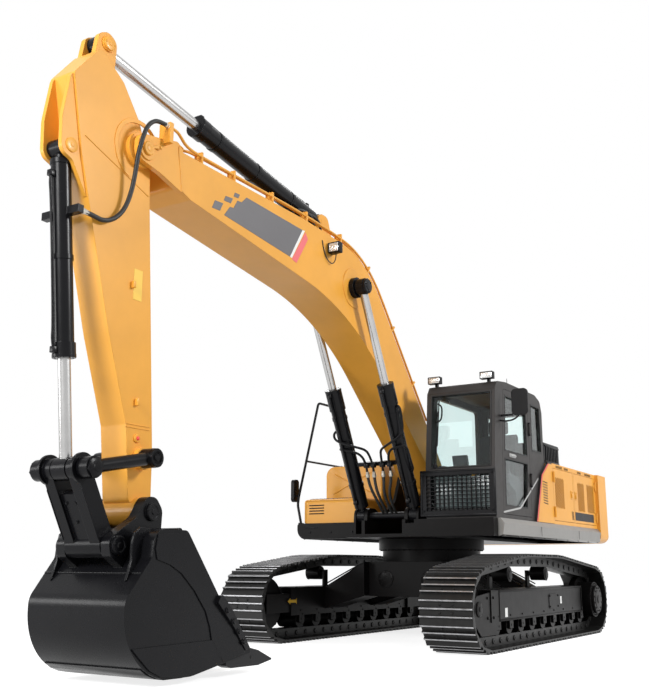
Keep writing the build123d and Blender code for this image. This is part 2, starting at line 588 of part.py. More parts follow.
DOOR_HINGE_X = DOOR_OUTLINE[0][0] + RUN
CAB_HINGES = (1950, 2600)
WINDSHIELD = (CAB_RIGHT + 65, CAB_LEFT - 50, 2040, 2930)
FOOT_PANE = (CAB_RIGHT + 65, CAB_LEFT - 50, 1540, 1950)
REAR_PANE = (CAB_RIGHT + 145, CAB_LEFT - 140, 2330, 2860)
with BuildPart() as cab_shell:
    slab(CAB_OUTLINE, CAB_RIGHT, CAB_LEFT)
    slab(CAB_INSIDE, CAB_RIGHT + CAB_WALL, CAB_LEFT - CAB_WALL, mode=Mode.SUBTRACT)
    slab(DOOR_OUTLINE, CAB_LEFT - 2 * CAB_WALL, CAB_LEFT + LAP, mode=Mode.SUBTRACT)
    slab(QUARTER_PANE, CAB_LEFT - 2 * CAB_WALL, CAB_LEFT + LAP, mode=Mode.SUBTRACT)
    slab(RIGHT_PANE, CAB_RIGHT + 2 * CAB_WALL, CAB_RIGHT - LAP, mode=Mode.SUBTRACT)
    for y_a, y_b, z_a, z_b in (WINDSHIELD, FOOT_PANE):
        block(1000, 1300, y_a, y_b, z_a, z_b, mode=Mode.SUBTRACT)
    block(-520, -430, REAR_PANE[0], REAR_PANE[1], REAR_PANE[2], REAR_PANE[3], mode=Mode.SUBTRACT)
    fixed_knuckles(DOOR_HINGE_X, CAB_LEFT, 1, CAB_HINGES, -1)
save(cab_shell, "cab_shell")

with BuildPart() as cab_glass:
    pane(QUARTER_PANE, FIT, CAB_LEFT - 30, CAB_LEFT - 30 + GLASS_T)
    pane(RIGHT_PANE, FIT, CAB_RIGHT + 30, CAB_RIGHT + 30 - GLASS_T)
    block(-475, -475 + GLASS_T, REAR_PANE[0] + FIT, REAR_PANE[1] - FIT, REAR_PANE[2] + FIT, REAR_PANE[3] - FIT)
    block(1210, 1210 + GLASS_T, FOOT_PANE[0] + FIT, FOOT_PANE[1] - FIT, FOOT_PANE[2] + FIT, FOOT_PANE[3] - FIT)
    slab([(1205, WINDSHIELD[2] + FIT, 0), (1205 + GLASS_T, WINDSHIELD[2] + FIT, 0),
          (1130 + GLASS_T, WINDSHIELD[3] - FIT, 0), (1130, WINDSHIELD[3] - FIT, 0)],
         WINDSHIELD[0] + FIT, WINDSHIELD[1] - FIT)
save(cab_glass, "cab_glass")

with BuildPart() as cab_door:
    pane(DOOR_OUTLINE, RUN, CAB_LEFT - CAB_WALL + 5, CAB_LEFT)
    pane(UPPER_PANE, 0, CAB_LEFT - 2 * CAB_WALL, CAB_LEFT + LAP, mode=Mode.SUBTRACT)
    pane(LOWER_PANE, 0, CAB_LEFT - 2 * CAB_WALL, CAB_LEFT + LAP, mode=Mode.SUBTRACT)
    upright_hinge(DOOR_HINGE_X, CAB_LEFT, 1, CAB_HINGES, 1)
save(cab_door, "cab_door")

with BuildPart() as door_glass:
    for outline in (UPPER_PANE, LOWER_PANE):
        pane(outline, FIT, CAB_LEFT - 30, CAB_LEFT - 30 + GLASS_T)
save(door_glass, "door_glass")

SEAT_MIDDLE = (CAB_LEFT + CAB_RIGHT) / 2
SEAT_HALF = 240
CAB_INNER_FLOOR = CAB_FLOOR + 30
with BuildPart() as seat:
    slab([(-60, 1700, 40), (470, 1740, 60), (480, 1880, 50), (90, 1870, 60), (0, 2560, 60), (-120, 2560, 60)],
         SEAT_MIDDLE - SEAT_HALF, SEAT_MIDDLE + SEAT_HALF)
    block(60, 400, SEAT_MIDDLE - 180, SEAT_MIDDLE + 180, CAB_INNER_FLOOR, 1740)
save(seat, "seat")

with BuildPart() as consoles:
    for side in (1, -1):
        inner = SEAT_MIDDLE + side * (SEAT_HALF + 20)
        outer = SEAT_MIDDLE + side * (SEAT_HALF + 110)
        slab([(-50, CAB_INNER_FLOOR, 0), (-50, 1960, 30), (560, 2010, 60), (560, 1880, 40), (350, 1800, 60),
              (300, CAB_INNER_FLOOR, 0)], inner, outer)
save(consoles, "consoles")

GUARD_X = 1250
GUARD_LEFT = CAB_LEFT + 15
GUARD_RIGHT = CAB_RIGHT - 60
GUARD_LOW = 1470
GUARD_HIGH = 2005
MESH_COLUMNS = 14
MESH_ROWS = 9
MESH_BAR = 9
MESH_PITCH_Y = (GUARD_LEFT - GUARD_RIGHT - 150) / MESH_COLUMNS
MESH_PITCH_Z = (GUARD_HIGH - GUARD_LOW - 110) / MESH_ROWS
with BuildPart() as front_guard:
    with BuildSketch(Plane.YZ.offset(GUARD_X)) as grid:
        with Locations(((GUARD_LEFT + GUARD_RIGHT) / 2, (GUARD_LOW + GUARD_HIGH) / 2)):
            Rectangle(GUARD_LEFT - GUARD_RIGHT, GUARD_HIGH - GUARD_LOW)
            with GridLocations(MESH_PITCH_Y, MESH_PITCH_Z, MESH_COLUMNS, MESH_ROWS):
                Rectangle(MESH_PITCH_Y - MESH_BAR, MESH_PITCH_Z - MESH_BAR, mode=Mode.SUBTRACT)
    extrude(grid.sketch, amount=25)
    for y in (GUARD_RIGHT + 85, GUARD_LEFT - 55):
        block(1240, GUARD_X + LAP, y - 25, y + 25, GUARD_LOW + 30, GUARD_LOW + 90)
save(front_guard, "front_guard")

with BuildPart() as roof_lamps:
    for y in (CAB_RIGHT + 78, CAB_LEFT - 119):
        block(1000, 1050, y - 15, y + 15, 3050, 3130)
        block(1040, 1110, y - 80, y + 80, 3095, 3180)
    slab(CAB_OUTLINE, CAB_RIGHT, CAB_LEFT, mode=Mode.SUBTRACT)
save(roof_lamps, "roof_lamps")

RAIL_Y = HOUSE_HALF + 22
RAIL_R = 17
RAIL_TOP = 3130
RAIL_BAR_Z = 2290
RAIL_LEAN = (480 - 868) / (RAIL_TOP - 1800)      # how far the front leg leans back for each millimetre up
RAIL_BAR = (868 + (RAIL_BAR_Z - 1800) * RAIL_LEAN, -150)
RAIL_FOOT_Y = HOUSE_HALF - 170
with BuildPart() as handrails:
    with BuildLine() as rail:
        FilletPolyline((905, -RAIL_Y, DECK_TOP + 6), (880, -RAIL_Y - 70, 1690), (868, -RAIL_Y - 62, 1800),
                       (480, -RAIL_Y, RAIL_TOP), (145, -RAIL_Y, RAIL_TOP), (60, -RAIL_FOOT_Y, 2430),
                       (70, -RAIL_FOOT_Y, HOUSE_TOP + 6), radius=[200, 200, 60, 60, 100])
    with BuildSketch(Plane(rail.line @ 0, z_dir=rail.line % 0)) as ring:
        Circle(RAIL_R)
    sweep(ring.sketch, path=rail.line)
    block(877, 933, -RAIL_Y - 28, 28 - RAIL_Y, DECK_TOP, DECK_TOP + 10)
    block(40, 100, -RAIL_FOOT_Y - 30, 30 - RAIL_FOOT_Y, HOUSE_TOP, HOUSE_TOP + 10)
    with Locations(((RAIL_BAR[0] + RAIL_BAR[1]) / 2, -RAIL_Y - 36, RAIL_BAR_Z)):
        Cylinder(RAIL_R - 3, RAIL_BAR[0] - RAIL_BAR[1], rotation=(0, 90, 0))
    block(RAIL_BAR[1] - 20, RAIL_BAR[1] + 20, -RAIL_Y - 46, -HOUSE_HALF, RAIL_BAR_Z - 250, RAIL_BAR_Z + 10)
save(handrails, "handrails")

MIRROR_T = 50
MIRROR_Y = -RAIL_Y - 62 - RAIL_R - 20 - MIRROR_T / 2
MIRROR_Z = 1880
with BuildPart() as mirrors:
    block(960, 990, CAB_LEFT + 140, CAB_LEFT + 340, 2640, 2960)
    fillet(mirrors.edges().filter_by(Axis.X), 50)
    block(960, 985, CAB_LEFT, CAB_LEFT + 150, 2640, 2665)
    block(808, 932, MIRROR_Y - MIRROR_T / 2, MIRROR_Y + MIRROR_T / 2, MIRROR_Z - 150, MIRROR_Z + 150)
    fillet(mirrors.solids().sort_by(Axis.Y)[0].edges().filter_by(Axis.Y), 45)
    block(858, 878, MIRROR_Y, -RAIL_Y - 62 - RAIL_R - FIT, 1800, 1820)
save(mirrors, "mirrors")

# Hoses from the boom's pipes to the bucket cylinder, as x, y and z from end to end
HOSE_R = 20
HOSE_START = (5800, 285, 4668)
HOSE_END = (6640 - FIT, 175, 3620)
HOSE_POINTS = [
    HOSE_START, (5915, 285, 4668), (6010, 290, 4617), (6075, 292, 4530), (6108, 288, 4425), (6125, 262, 4290),
    (6120, 235, 4110), (6135, 212, 3930), (6185, 198, 3775), (6275, 188, 3665), (6395, 178, 3605),
    (6520, 175, 3620), HOSE_END]

# Boom
foot_to_nose = [
    (BOOM_FOOT[0] - 120, BOOM_FOOT[1] + 40, 100), (2175, 4490, 1300), (3500, 4548, 3000), (5530, 4530, 300),
    (BOOM_NOSE[0] - 400, BOOM_NOSE[1] + 145, 60), (BOOM_NOSE[0] - 420, BOOM_NOSE[1] - 200, 40), (5400, 4118, 100),
    (2510, 3746, 3300), (BOOM_FOOT[0] + 130, BOOM_FOOT[1] - 120, 100)]
BOOM_HALF = BOOM_WIDTH / 2
with BuildPart() as boom:
    slab(foot_to_nose, -BOOM_HALF, BOOM_HALF)
    with BuildSketch(side_plane(BOOM_HALF - BOOM_WEB)) as hollow:
        with BuildLine():
            FilletPolyline(*[(x, z) for x, z, r in foot_to_nose],
                           radius=[r for x, z, r in foot_to_nose], close=True)
        make_face()
        offset(amount=-BOOM_WEB, mode=Mode.REPLACE)
    extrude(hollow.sketch, amount=BOOM_WIDTH - 2 * BOOM_WEB, mode=Mode.SUBTRACT)
    cross_pin(BOOM_FOOT, BOOM_FOOT_R, -BOOM_FOOT_HALF, BOOM_FOOT_HALF)
    cross_pin(BOOM_FOOT, BOOM_FOOT_PIN_R + FIT, -400, 400, mode=Mode.SUBTRACT)
    for side in (1, -1):
        cross_pin(BOOM_CYLINDER_ROD, 120, side * (BOOM_HALF - LAP), side * (EYE_IN - RUN))
        slab(around(BOOM_NOSE, [(-470, 184, 0), (-390, 226, 60), (-200, 172, 300), (104, 118, 100), (104, -110, 100),
                                (-180, -152, 300), (-470, -232, 0)]),
             side * BOOM_HALF, side * (BOOM_HALF - NOSE_PLATE_T))
        cross_pin(BOOM_NOSE, 100, side * (BOOM_HALF - LAP), side * (BOOM_HALF + 14))
        block(HOSE_START[0] - FIT - 45, HOSE_START[0] - FIT, side * (BOOM_HALF - NOSE_PLATE_T),
              side * (HOSE_START[1] + 32), BOOM_NOSE[1] + 130, HOSE_START[2] + 32)
        slab(around(ARM_CYLINDER_FOOT, [(-260, -330, 0), (-100, 90, 85), (95, 90, 85), (110, -330, 0)]),
             side * (EYE_WIDTH / 2 + RUN), side * (EYE_WIDTH / 2 + RUN + 42))
    cross_pin(BOOM_NOSE, NOSE_PIN_R, -BOOM_HALF - 20, BOOM_HALF + 20)
    cross_pin(ARM_CYLINDER_FOOT, 45, -EYE_WIDTH, EYE_WIDTH)
save(boom, "boom")

LAMP_AT = (2985, 4363)
with BuildPart() as boom_lamp:
    block(LAMP_AT[0] - 55, LAMP_AT[0] - 25, BOOM_HALF, BOOM_HALF + 70, LAMP_AT[1] - 55, LAMP_AT[1] + 55)
    with Locations((LAMP_AT[0], BOOM_HALF + 65, LAMP_AT[1])):
        Cylinder(52, 80, rotation=(0, 90, 0))
save(boom_lamp, "boom_lamp")

with BuildPart() as boom_barrels:
    for side in (1, -1):
        hydraulic_barrel(BOOM_CYLINDER_FOOT, BOOM_CYLINDER_ROD, side * BOOM_CYLINDER_Y, BOOM_BARREL, 95, 45)
    with BuildSketch(along(BOOM_CYLINDER_FOOT, BOOM_CYLINDER_ROD).offset(PIPE_BAR_AT)) as section:
        Rectangle(2 * (BOOM_CYLINDER_Y - BOOM_BARREL[1] + LAP * 2), 36)
    extrude(section.sketch, amount=50)
save(boom_barrels, "boom_cylinder_barrels")

with BuildPart() as boom_rods:
    for side in (1, -1):
        hydraulic_rod(BOOM_CYLINDER_FOOT, BOOM_CYLINDER_ROD, side * BOOM_CYLINDER_Y, BOOM_BARREL, 810, 95, 50)
save(boom_rods, "boom_cylinder_rods")

with BuildPart() as arm_barrel:
    hydraulic_barrel(ARM_CYLINDER_FOOT, ARM_CYLINDER_ROD, 0, ARM_BARREL, 105, 45)
save(arm_barrel, "arm_cylinder_barrel")

with BuildPart() as arm_rod:
    hydraulic_rod(ARM_CYLINDER_FOOT, ARM_CYLINDER_ROD, 0, ARM_BARREL, 560, 95, 50)
save(arm_rod, "arm_cylinder_rod")

# Arm
ARM_HALF = ARM_WIDTH / 2
arm_outline = [
    (6214, 4931, 60), (6500, 5125, 60), (6770, 4775, 50), (6634, 4105, 60), (6234, 2733, 0), (5981, 2010, 60),
    (BUCKET_PIN[0] + 120, BUCKET_PIN[1] + 60, 60), (BUCKET_PIN[0] - 140, BUCKET_PIN[1] + 80, 60),
    (5655, 1800, 0), (5830, 4000, 100), (5843, 4267, 60), (6003, 4655, 100)]
LUG_IN_Y = EYE_WIDTH / 2 + RUN
EYE_HALF = 80        # of the bucket cylinder's foot
with BuildPart() as arm:
    slab(arm_outline, -ARM_HALF, ARM_HALF)
    with BuildSketch(side_plane(ARM_HALF - ARM_WEB)) as hollow:
        with BuildLine():
            FilletPolyline(*[(x, z) for x, z, r in arm_outline],
                           radius=[r for x, z, r in arm_outline], close=True)
        make_face()
        offset(amount=-ARM_WEB, mode=Mode.REPLACE)
    extrude(hollow.sketch, amount=ARM_WIDTH - 2 * ARM_WEB, mode=Mode.SUBTRACT)
    cross_pin(BOOM_NOSE, ARM_BOSS_R, RUN + NOSE_PLATE_T - BOOM_HALF, BOOM_HALF - NOSE_PLATE_T - RUN)
    cross_pin(BOOM_NOSE, NOSE_PIN_R + FIT, -400, 400, mode=Mode.SUBTRACT)
    cross_pin(BUCKET_PIN, 120, RUN - EAR_IN, EAR_IN - RUN)
    for side in (1, -1):
        slab(around(ARM_CYLINDER_ROD, [(-90, -260, 0), (-105, 60, 80), (0, 115, 80), (105, 60, 80), (150, -200, 0)]),
             side * LUG_IN_Y, side * (LUG_IN_Y + 50))
        cross_pin(ARM_CYLINDER_ROD, 70, side * (LUG_IN_Y + 50 - LAP), side * (LUG_IN_Y + 66))
        slab(around(BUCKET_CYLINDER_FOOT, [(-60, 640, 0), (50, 610, 40), (112, 220, 300), (100, -75, 90),
                                           (-20, -115, 70), (-190, -370, 0), (-260, -300, 0)]),
             side * (EYE_HALF + RUN), side * (EYE_HALF + RUN + 38))
        cross_pin(LINK_PIN, 90, side * (ARM_HALF - LAP), side * (LINK_IN - RUN))
        cross_pin(LINK_PIN, 45, side * ARM_HALF, side * (LINK_OUT + RUN + LAP))
        cross_pin(LINK_PIN, 78, side * (LINK_OUT + RUN), side * (LINK_OUT + RUN + 20))
    cross_pin(BUCKET_CYLINDER_FOOT, 45, -EYE_HALF - RUN - 20, EYE_HALF + RUN + 20)
    cross_pin(BUCKET_PIN, 50 + FIT, -400, 400, mode=Mode.SUBTRACT)
save(arm, "arm")

with BuildPart() as bucket_barrel:
    hydraulic_barrel(BUCKET_CYLINDER_FOOT, BUCKET_CYLINDER_ROD, 0, BUCKET_BARREL, 75, 45, EYE_HALF)
    for side in (1, -1):
        block(HOSE_END[0] + FIT, HOSE_END[0] + 60, side * 70, side * (HOSE_END[1] + 30), HOSE_END[2] - 32,
              HOSE_END[2] + 32)
save(bucket_barrel, "bucket_cylinder_barrel")

with BuildPart() as bucket_rod:
    hydraulic_rod(BUCKET_CYLINDER_FOOT, BUCKET_CYLINDER_ROD, 0, BUCKET_BARREL, 730, 90, 75)
save(bucket_rod, "bucket_cylinder_rod")

with BuildPart() as side_links:
    for side in (1, -1):
        y_in, y_out = side * LINK_IN, side * LINK_OUT
        cross_pin(LINK_PIN, 80, y_in, y_out)
        cross_pin(BUCKET_CYLINDER_ROD, 85, y_in, y_out)
        bar(along(LINK_PIN, BUCKET_CYLINDER_ROD, (y_in + y_out) / 2), 60, distance(LINK_PIN, BUCKET_CYLINDER_ROD) - 60,
            (LINK_OUT - LINK_IN) / 2 - LAP)
        cross_pin(LINK_PIN, 45 + FIT, y_in - side * 50, y_out + side * 50, mode=Mode.SUBTRACT)
save(side_links, "side_links")

with BuildPart() as h_link:
    line = along(BUCKET_CYLINDER_ROD, BUCKET_LINK_PIN)
    for side in (1, -1):
        cross_pin(BUCKET_CYLINDER_ROD, 88, side * 85, side * (LINK_IN - RUN))
        cross_pin(BUCKET_CYLINDER_ROD, 118, side * (LINK_IN - RUN - 25), side * (LINK_IN - RUN))
        with BuildSketch(line) as web:
            with Locations((side * (85 + LINK_IN - RUN) / 2, 0)):
                Rectangle(LINK_IN - RUN - 85, 150)
        extrude(web.sketch, amount=distance(BUCKET_CYLINDER_ROD, BUCKET_LINK_PIN))
    with BuildSketch(line.offset(190)) as web:
        Rectangle(200, 100)
    extrude(web.sketch, amount=distance(BUCKET_CYLINDER_ROD, BUCKET_LINK_PIN) - 190)
    cross_pin(BUCKET_LINK_PIN, 95, RUN - EAR_IN, EAR_IN - RUN)
    cross_pin(BUCKET_LINK_PIN, 50 + FIT, -400, 400, mode=Mode.SUBTRACT)
save(h_link, "h_link")

# Bucket
BUCKET_HALF = BUCKET_WIDTH / 2
LIP_X = 4840
LIP_Z = 180
BOTTOM_X = 5560      # where the bottom plate starts to rise towards its lip
BUCKET_LOW = 50
BACK_X = 6285
BUCKET_BACK_HALF = 512
LIP_SLOPE = (LIP_Z - BUCKET_LOW) / (BOTTOM_X - LIP_X)
bucket_outside = [
    (5650, 1165, 60), (6005, 1165, 110), (6030, 950, 60), (BACK_X, 640, 150), (BACK_X, BUCKET_LOW, 500),
    (BOTTOM_X, BUCKET_LOW, 400), (LIP_X, LIP_Z, 0), (LIP_X + 10, LIP_Z + 45, 0), (5243, 632, 400)]
bucket_inside = [
    (5500, 1140, 0), (5982, 1140, 85), (6005, 945, 60), (BACK_X - BUCKET_SHELL_T, 633, 130),
    (BACK_X - BUCKET_SHELL_T, BUCKET_LOW + BUCKET_SHELL_T, 475), (BOTTOM_X, BUCKET_LOW + BUCKET_SHELL_T, 400),
    (LIP_X - 60, LIP_Z + BUCKET_SHELL_T + 60 * LIP_SLOPE, 0), (4700, 700, 0)]
CUTTER_OUT = BUCKET_HALF + 14
CUTTER_IN = BUCKET_HALF - 50
CAP_T = 22           # caps on the ends of the bucket's pins


def bucket_half(x):
    """Half the bucket's width, which narrows towards its back."""
    return BUCKET_HALF - (x - LIP_X) * (BUCKET_HALF - BUCKET_BACK_HALF) / (BACK_X - LIP_X)


def tapered(outline, gap):
    """A side outline across the bucket, its ends that far inside the bucket's sides."""
    front, back = LIP_X - 200, BACK_X + 50
    with BuildPart() as body:
        slab(outline, -BUCKET_WIDTH, BUCKET_WIDTH)
        with BuildSketch() as plan:
            with BuildLine():
                Polyline((front, bucket_half(front) - gap), (back, bucket_half(back) - gap),
                         (back, gap - bucket_half(back)), (front, gap - bucket_half(front)), close=True)
            make_face()
        extrude(plan.sketch, amount=BUCKET_PIN[1], mode=Mode.INTERSECT)
    return body.part


with BuildPart() as bucket:
    add(tapered(bucket_outside, 0))
    add(tapered(bucket_inside, BUCKET_SIDE_T), mode=Mode.SUBTRACT)
    for side in (1, -1):
        slab([(4868, 222, 12), (4925, 205, 0), (5090, 395, 300), (5310, 600, 0), (5268, 672, 25), (5100, 520, 300)],
             side * CUTTER_IN, side * CUTTER_OUT)
        for place in (BUCKET_PIN, BUCKET_LINK_PIN):
            cross_pin(place, 74, side * (EAR_OUT - LAP), side * (EAR_OUT + CAP_T))
        slab([(5670, 1150, 0), (5660, 1330, 90), (5740, 1430, 90), (5850, 1430, 90), (5960, 1260, 150),
              (6150, 1150, 60), (6255, 1080, 70), (6230, 960, 70), (6080, 870, 0), (6020, 940, 0), (5990, 1150, 0)],
             side * EAR_IN, side * EAR_OUT)
    cross_pin(BUCKET_PIN, 50, -EAR_OUT, EAR_OUT)
    cross_pin(BUCKET_LINK_PIN, 50, -EAR_OUT, EAR_OUT)
save(bucket, "bucket")

TOOTH_Y = [-500 + 250 * i for i in range(5)]


def lip_top(x):
    return BUCKET_LOW + BUCKET_SHELL_T + (BOTTOM_X - x) * LIP_SLOPE + FIT


def lip_bottom(x):
    return BUCKET_LOW + (BOTTOM_X - x) * LIP_SLOPE - FIT


with BuildPart() as bucket_teeth:
    for y in TOOTH_Y:
        slab([(4960, lip_top(4960), 0), (4960, lip_top(4960) + 24, 0), (4850, 228, 0), (4662, 187, 0), (4460, 105, 0),
              (4460, 93, 0), (4658, 62, 0), (5040, 68, 0), (5110, 92, 0), (5110, lip_bottom(5110), 0),
              (LIP_X - FIT, lip_bottom(LIP_X - FIT), 0), (LIP_X - FIT, lip_top(LIP_X - FIT), 0)], y - 50, y + 50)
save(bucket_teeth, "bucket_teeth")


def arc_radii(points):
    """The largest arc that each corner's two runs allow."""
    radii = []
    for before, corner, after in zip(points, points[1:], points[2:]):
        run_in = Vector(*corner) - Vector(*before)
        run_out = Vector(*after) - Vector(*corner)
        half_turn = run_in.get_angle(run_out) / 2
        radii.append(0.45 * min(run_in.length, run_out.length) / tan(radians(half_turn)))
    return radii


for side, hand in ((1, "left"), (-1, "right")):
    points = [(x, side * y, z) for x, y, z in HOSE_POINTS]
    radii = arc_radii(points)
    with BuildPart() as hose:
        with BuildLine() as route:
            FilletPolyline(*points, radius=radii)
        path = route.wire()
        with BuildSketch(Plane(path @ 0, z_dir=path % 0)) as ring:
            Circle(HOSE_R)
        sweep(ring.sketch, path=path)
    print("hose", hand, "length", round(path.length), "arc radii", [round(r) for r in radii],
          "volume over section times length", round(hose.part.volume / (pi * HOSE_R ** 2 * path.length), 4))
    save(hose, f"bucket_hose_{hand}")
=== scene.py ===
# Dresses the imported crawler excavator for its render: materials, small parts, light and camera. Metres.
import bpy
import bmesh
import json
import math
from mathutils import Matrix, Vector


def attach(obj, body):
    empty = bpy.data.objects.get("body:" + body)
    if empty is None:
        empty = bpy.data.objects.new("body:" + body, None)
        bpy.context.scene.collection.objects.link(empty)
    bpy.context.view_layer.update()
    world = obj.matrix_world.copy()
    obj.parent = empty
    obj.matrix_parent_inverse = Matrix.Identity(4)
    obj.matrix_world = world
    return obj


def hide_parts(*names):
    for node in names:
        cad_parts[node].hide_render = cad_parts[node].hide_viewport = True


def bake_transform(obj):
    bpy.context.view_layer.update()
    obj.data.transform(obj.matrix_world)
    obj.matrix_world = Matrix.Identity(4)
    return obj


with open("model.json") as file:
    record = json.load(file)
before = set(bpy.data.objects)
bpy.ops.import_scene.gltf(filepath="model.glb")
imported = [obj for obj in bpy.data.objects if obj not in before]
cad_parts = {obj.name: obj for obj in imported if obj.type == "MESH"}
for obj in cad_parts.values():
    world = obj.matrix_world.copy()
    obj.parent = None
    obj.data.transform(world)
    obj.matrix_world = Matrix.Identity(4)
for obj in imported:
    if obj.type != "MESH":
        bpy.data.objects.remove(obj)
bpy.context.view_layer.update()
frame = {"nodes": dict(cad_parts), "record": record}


# Materials
def new_material(name):
    material = bpy.data.materials.new(name)
    material.use_nodes = True
    tree = material.node_tree
    return material, tree, tree.nodes["Principled BSDF"]


def noise(tree, scale, detail=4.0, roughness=0.6):
    """Noise in the object's own metres."""
    place = tree.nodes.new("ShaderNodeTexCoord")
    node = tree.nodes.new("ShaderNodeTexNoise")
    node.inputs["Scale"].default_value = scale
    node.inputs["Detail"].default_value = detail
    node.inputs["Roughness"].default_value = roughness
    tree.links.new(place.outputs["Object"], node.inputs["Vector"])
    return node.outputs["Fac"]


def tone(tree, pattern, low, high, colour_low, colour_high):
    """Two colours that follow a noise, each from its own share of it."""
    ramp = tree.nodes.new("ShaderNodeValToRGB")
    first, last = ramp.color_ramp.elements
    first.position, last.position = low, high
    first.color, last.color = (*colour_low, 1), (*colour_high, 1)
    tree.links.new(noise(tree, *pattern), ramp.inputs["Fac"])
    return ramp.outputs["Color"]


def spread_of(tree, pattern, low, high):
    """A noise brought to a range."""
    node = tree.nodes.new("ShaderNodeMapRange")
    node.inputs["To Min"].default_value = low
    node.inputs["To Max"].default_value = high
    tree.links.new(noise(tree, *pattern), node.inputs["Value"])
    return node.outputs["Result"]


def relief(tree, pattern, strength, depth, edge):
    """Bump over edges that look rounded by that much."""
    bevel = tree.nodes.new("ShaderNodeBevel")
    bevel.samples = 4
    bevel.inputs["Radius"].default_value = edge
    bump = tree.nodes.new("ShaderNodeBump")
    bump.inputs["Strength"].default_value = strength
    bump.inputs["Distance"].default_value = depth
    tree.links.new(noise(tree, *pattern), bump.inputs["Height"])
    tree.links.new(bevel.outputs["Normal"], bump.inputs["Normal"])
    return bump.outputs["Normal"]


def surface(name, tones, gloss, sockets, bump=None):
    """A material whose tone, gloss and relief follow noises; sockets are plain numbers on its shader."""
    material, tree, shader = new_material(name)
    tree.links.new(tone(tree, *tones), shader.inputs["Base Color"])
    tree.links.new(spread_of(tree, *gloss), shader.inputs["Roughness"])
    if bump:
        tree.links.new(relief(tree, *bump), shader.inputs["Normal"])
    for socket, value in sockets.items():
        shader.inputs[socket].default_value = value
    return material


def scaled(colour, factor):
    return tuple(min(1, c * factor) for c in colour)


def painted(name, colour, rough=0.35, spread=0.06, coat=0.0, metal=0.0, shine=0.5):
    """Sprayed paint: slow changes of tone, dust that dulls it in places and a fine orange peel."""
    return surface(name, ((1.7, 5), 0.3, 0.7, scaled(colour, 1 - spread), scaled(colour, 1 + spread)),
                   ((9, 6, 0.65), rough * 0.8, rough * 1.25),
                   {"Metallic": metal, "Specular IOR Level": shine, "Coat Weight": coat,
                    "Coat Roughness": 0.12}, ((260, 2), 0.04, 0.002, 0.006))


def cast(name, colour, rough=0.55, metal=0.0, grain=0.25, scale=120, shine=0.35):
    """Forged or cast steel, or moulded stuff: mottled tone and a grainy skin."""
    mottle = (14, 8, 0.7)
    return surface(name, (mottle, 0.35, 0.7, scaled(colour, 0.75), scaled(colour, 1.35)),
                   (mottle, rough * 0.8, rough * 1.25), {"Metallic": metal, "Specular IOR Level": shine},
                   ((scale, 6, 0.7), grain, 0.003, 0.004))


BODY = painted("body_yellow", (0.78, 0.36, 0.045), rough=0.36, coat=0.06, shine=0.28)
TRIM = painted("trim_black", (0.008, 0.008, 0.009), rough=0.32, spread=0.15, shine=0.11)
CAB = painted("cab_charcoal", (0.030, 0.027, 0.026), rough=0.42, spread=0.08, shine=0.2)
FRAME = painted("frame_black", (0.0055, 0.005, 0.005), rough=0.34, spread=0.2, shine=0.09)
SILL = painted("sill_grey", (0.24, 0.23, 0.215), rough=0.34, metal=0.45)
CYLINDER = painted("cylinder_black", (0.005, 0.005, 0.006), rough=0.25, spread=0.15, shine=0.15)
LINK = painted("link_black", (0.004, 0.004, 0.005), rough=0.28, spread=0.2, shine=0.11)
BUCKET = painted("bucket_black", (0.005, 0.005, 0.006), rough=0.27, spread=0.2, shine=0.14)
TOOTH = cast("tooth_steel", (0.007, 0.007, 0.008), rough=0.4, grain=0.12, shine=0.2)
TRACK = cast("track_steel", (0.007, 0.0068, 0.0065), rough=0.36, grain=0.08, shine=0.25)
IRON = cast("engine_iron", (0.03, 0.03, 0.03))
# Grey-teal colour of the foot pane: the glass's tint with a painted reflection, on an opaque plate
FOOT_PANE_REFLECTION = painted("foot_pane", (0.10, 0.135, 0.135), rough=0.25, coat=0.3)
FABRIC = cast("seat_fabric", (0.014, 0.014, 0.016), rough=0.85, grain=0.5, scale=400)
PLASTIC = cast("cab_plastic", (0.05, 0.05, 0.055), rough=0.6, grain=0.1, scale=500)
RUBBER = cast("hose_rubber", (0.010, 0.010, 0.010), rough=0.5, grain=0.1, scale=300)
GREY = painted("band_grey", (0.105, 0.100, 0.105), rough=0.4)
WHITE = painted("label_white", (0.80, 0.80, 0.78), rough=0.4, spread=0.03)
RED = painted("stripe_red", (0.75, 0.06, 0.04), spread=0.05, coat=0.1)
PINK = painted("stripe_pink", (0.78, 0.13, 0.14), spread=0.05, coat=0.1)
SILVER = painted("trim_silver", (0.42, 0.42, 0.41), spread=0.05, coat=0.2, metal=0.4)
LABEL = painted("label_yellow", (0.85, 0.52, 0.04), rough=0.4, spread=0.03)
# Bright metal for the grouser tips: a painted highlight that stands for the glints along the grousers' edges
TIP_HIGHLIGHT = cast("grouser_highlight_steel", (0.36, 0.36, 0.37), rough=0.3, metal=0.85, grain=0.05)
ZINC = cast("zinc", (0.55, 0.53, 0.47), rough=0.3, metal=0.9, grain=0.05)
# Hard chrome on the piston rods, with a faint film of oil
CHROME = surface("rod_chrome", ((3, 3), 0.3, 0.7, (0.41, 0.405, 0.40), (0.48, 0.475, 0.47)),
                 ((3, 3), 0.2, 0.28), {"Metallic": 0.9})
# Tinted safety glass with a thin film of dust
GLASS = surface("cab_glass", ((2.2,), 0.3, 0.8, (0.87, 0.98, 0.97), (0.91, 0.99, 0.98)), ((2.2,), 0.0, 0.03),
                {"Transmission Weight": 1.0, "IOR": 1.3})
# Fluted glass over a bright reflector
LENS = surface("lamp_lens", ((60, 2), 0.35, 0.65, (0.35, 0.36, 0.36), (0.92, 0.93, 0.93)),
               ((60, 2), 0.05, 0.2), {"Metallic": 0.5, "Coat Weight": 1.0}, ((60, 2), 0.5, 0.004, 0.002))

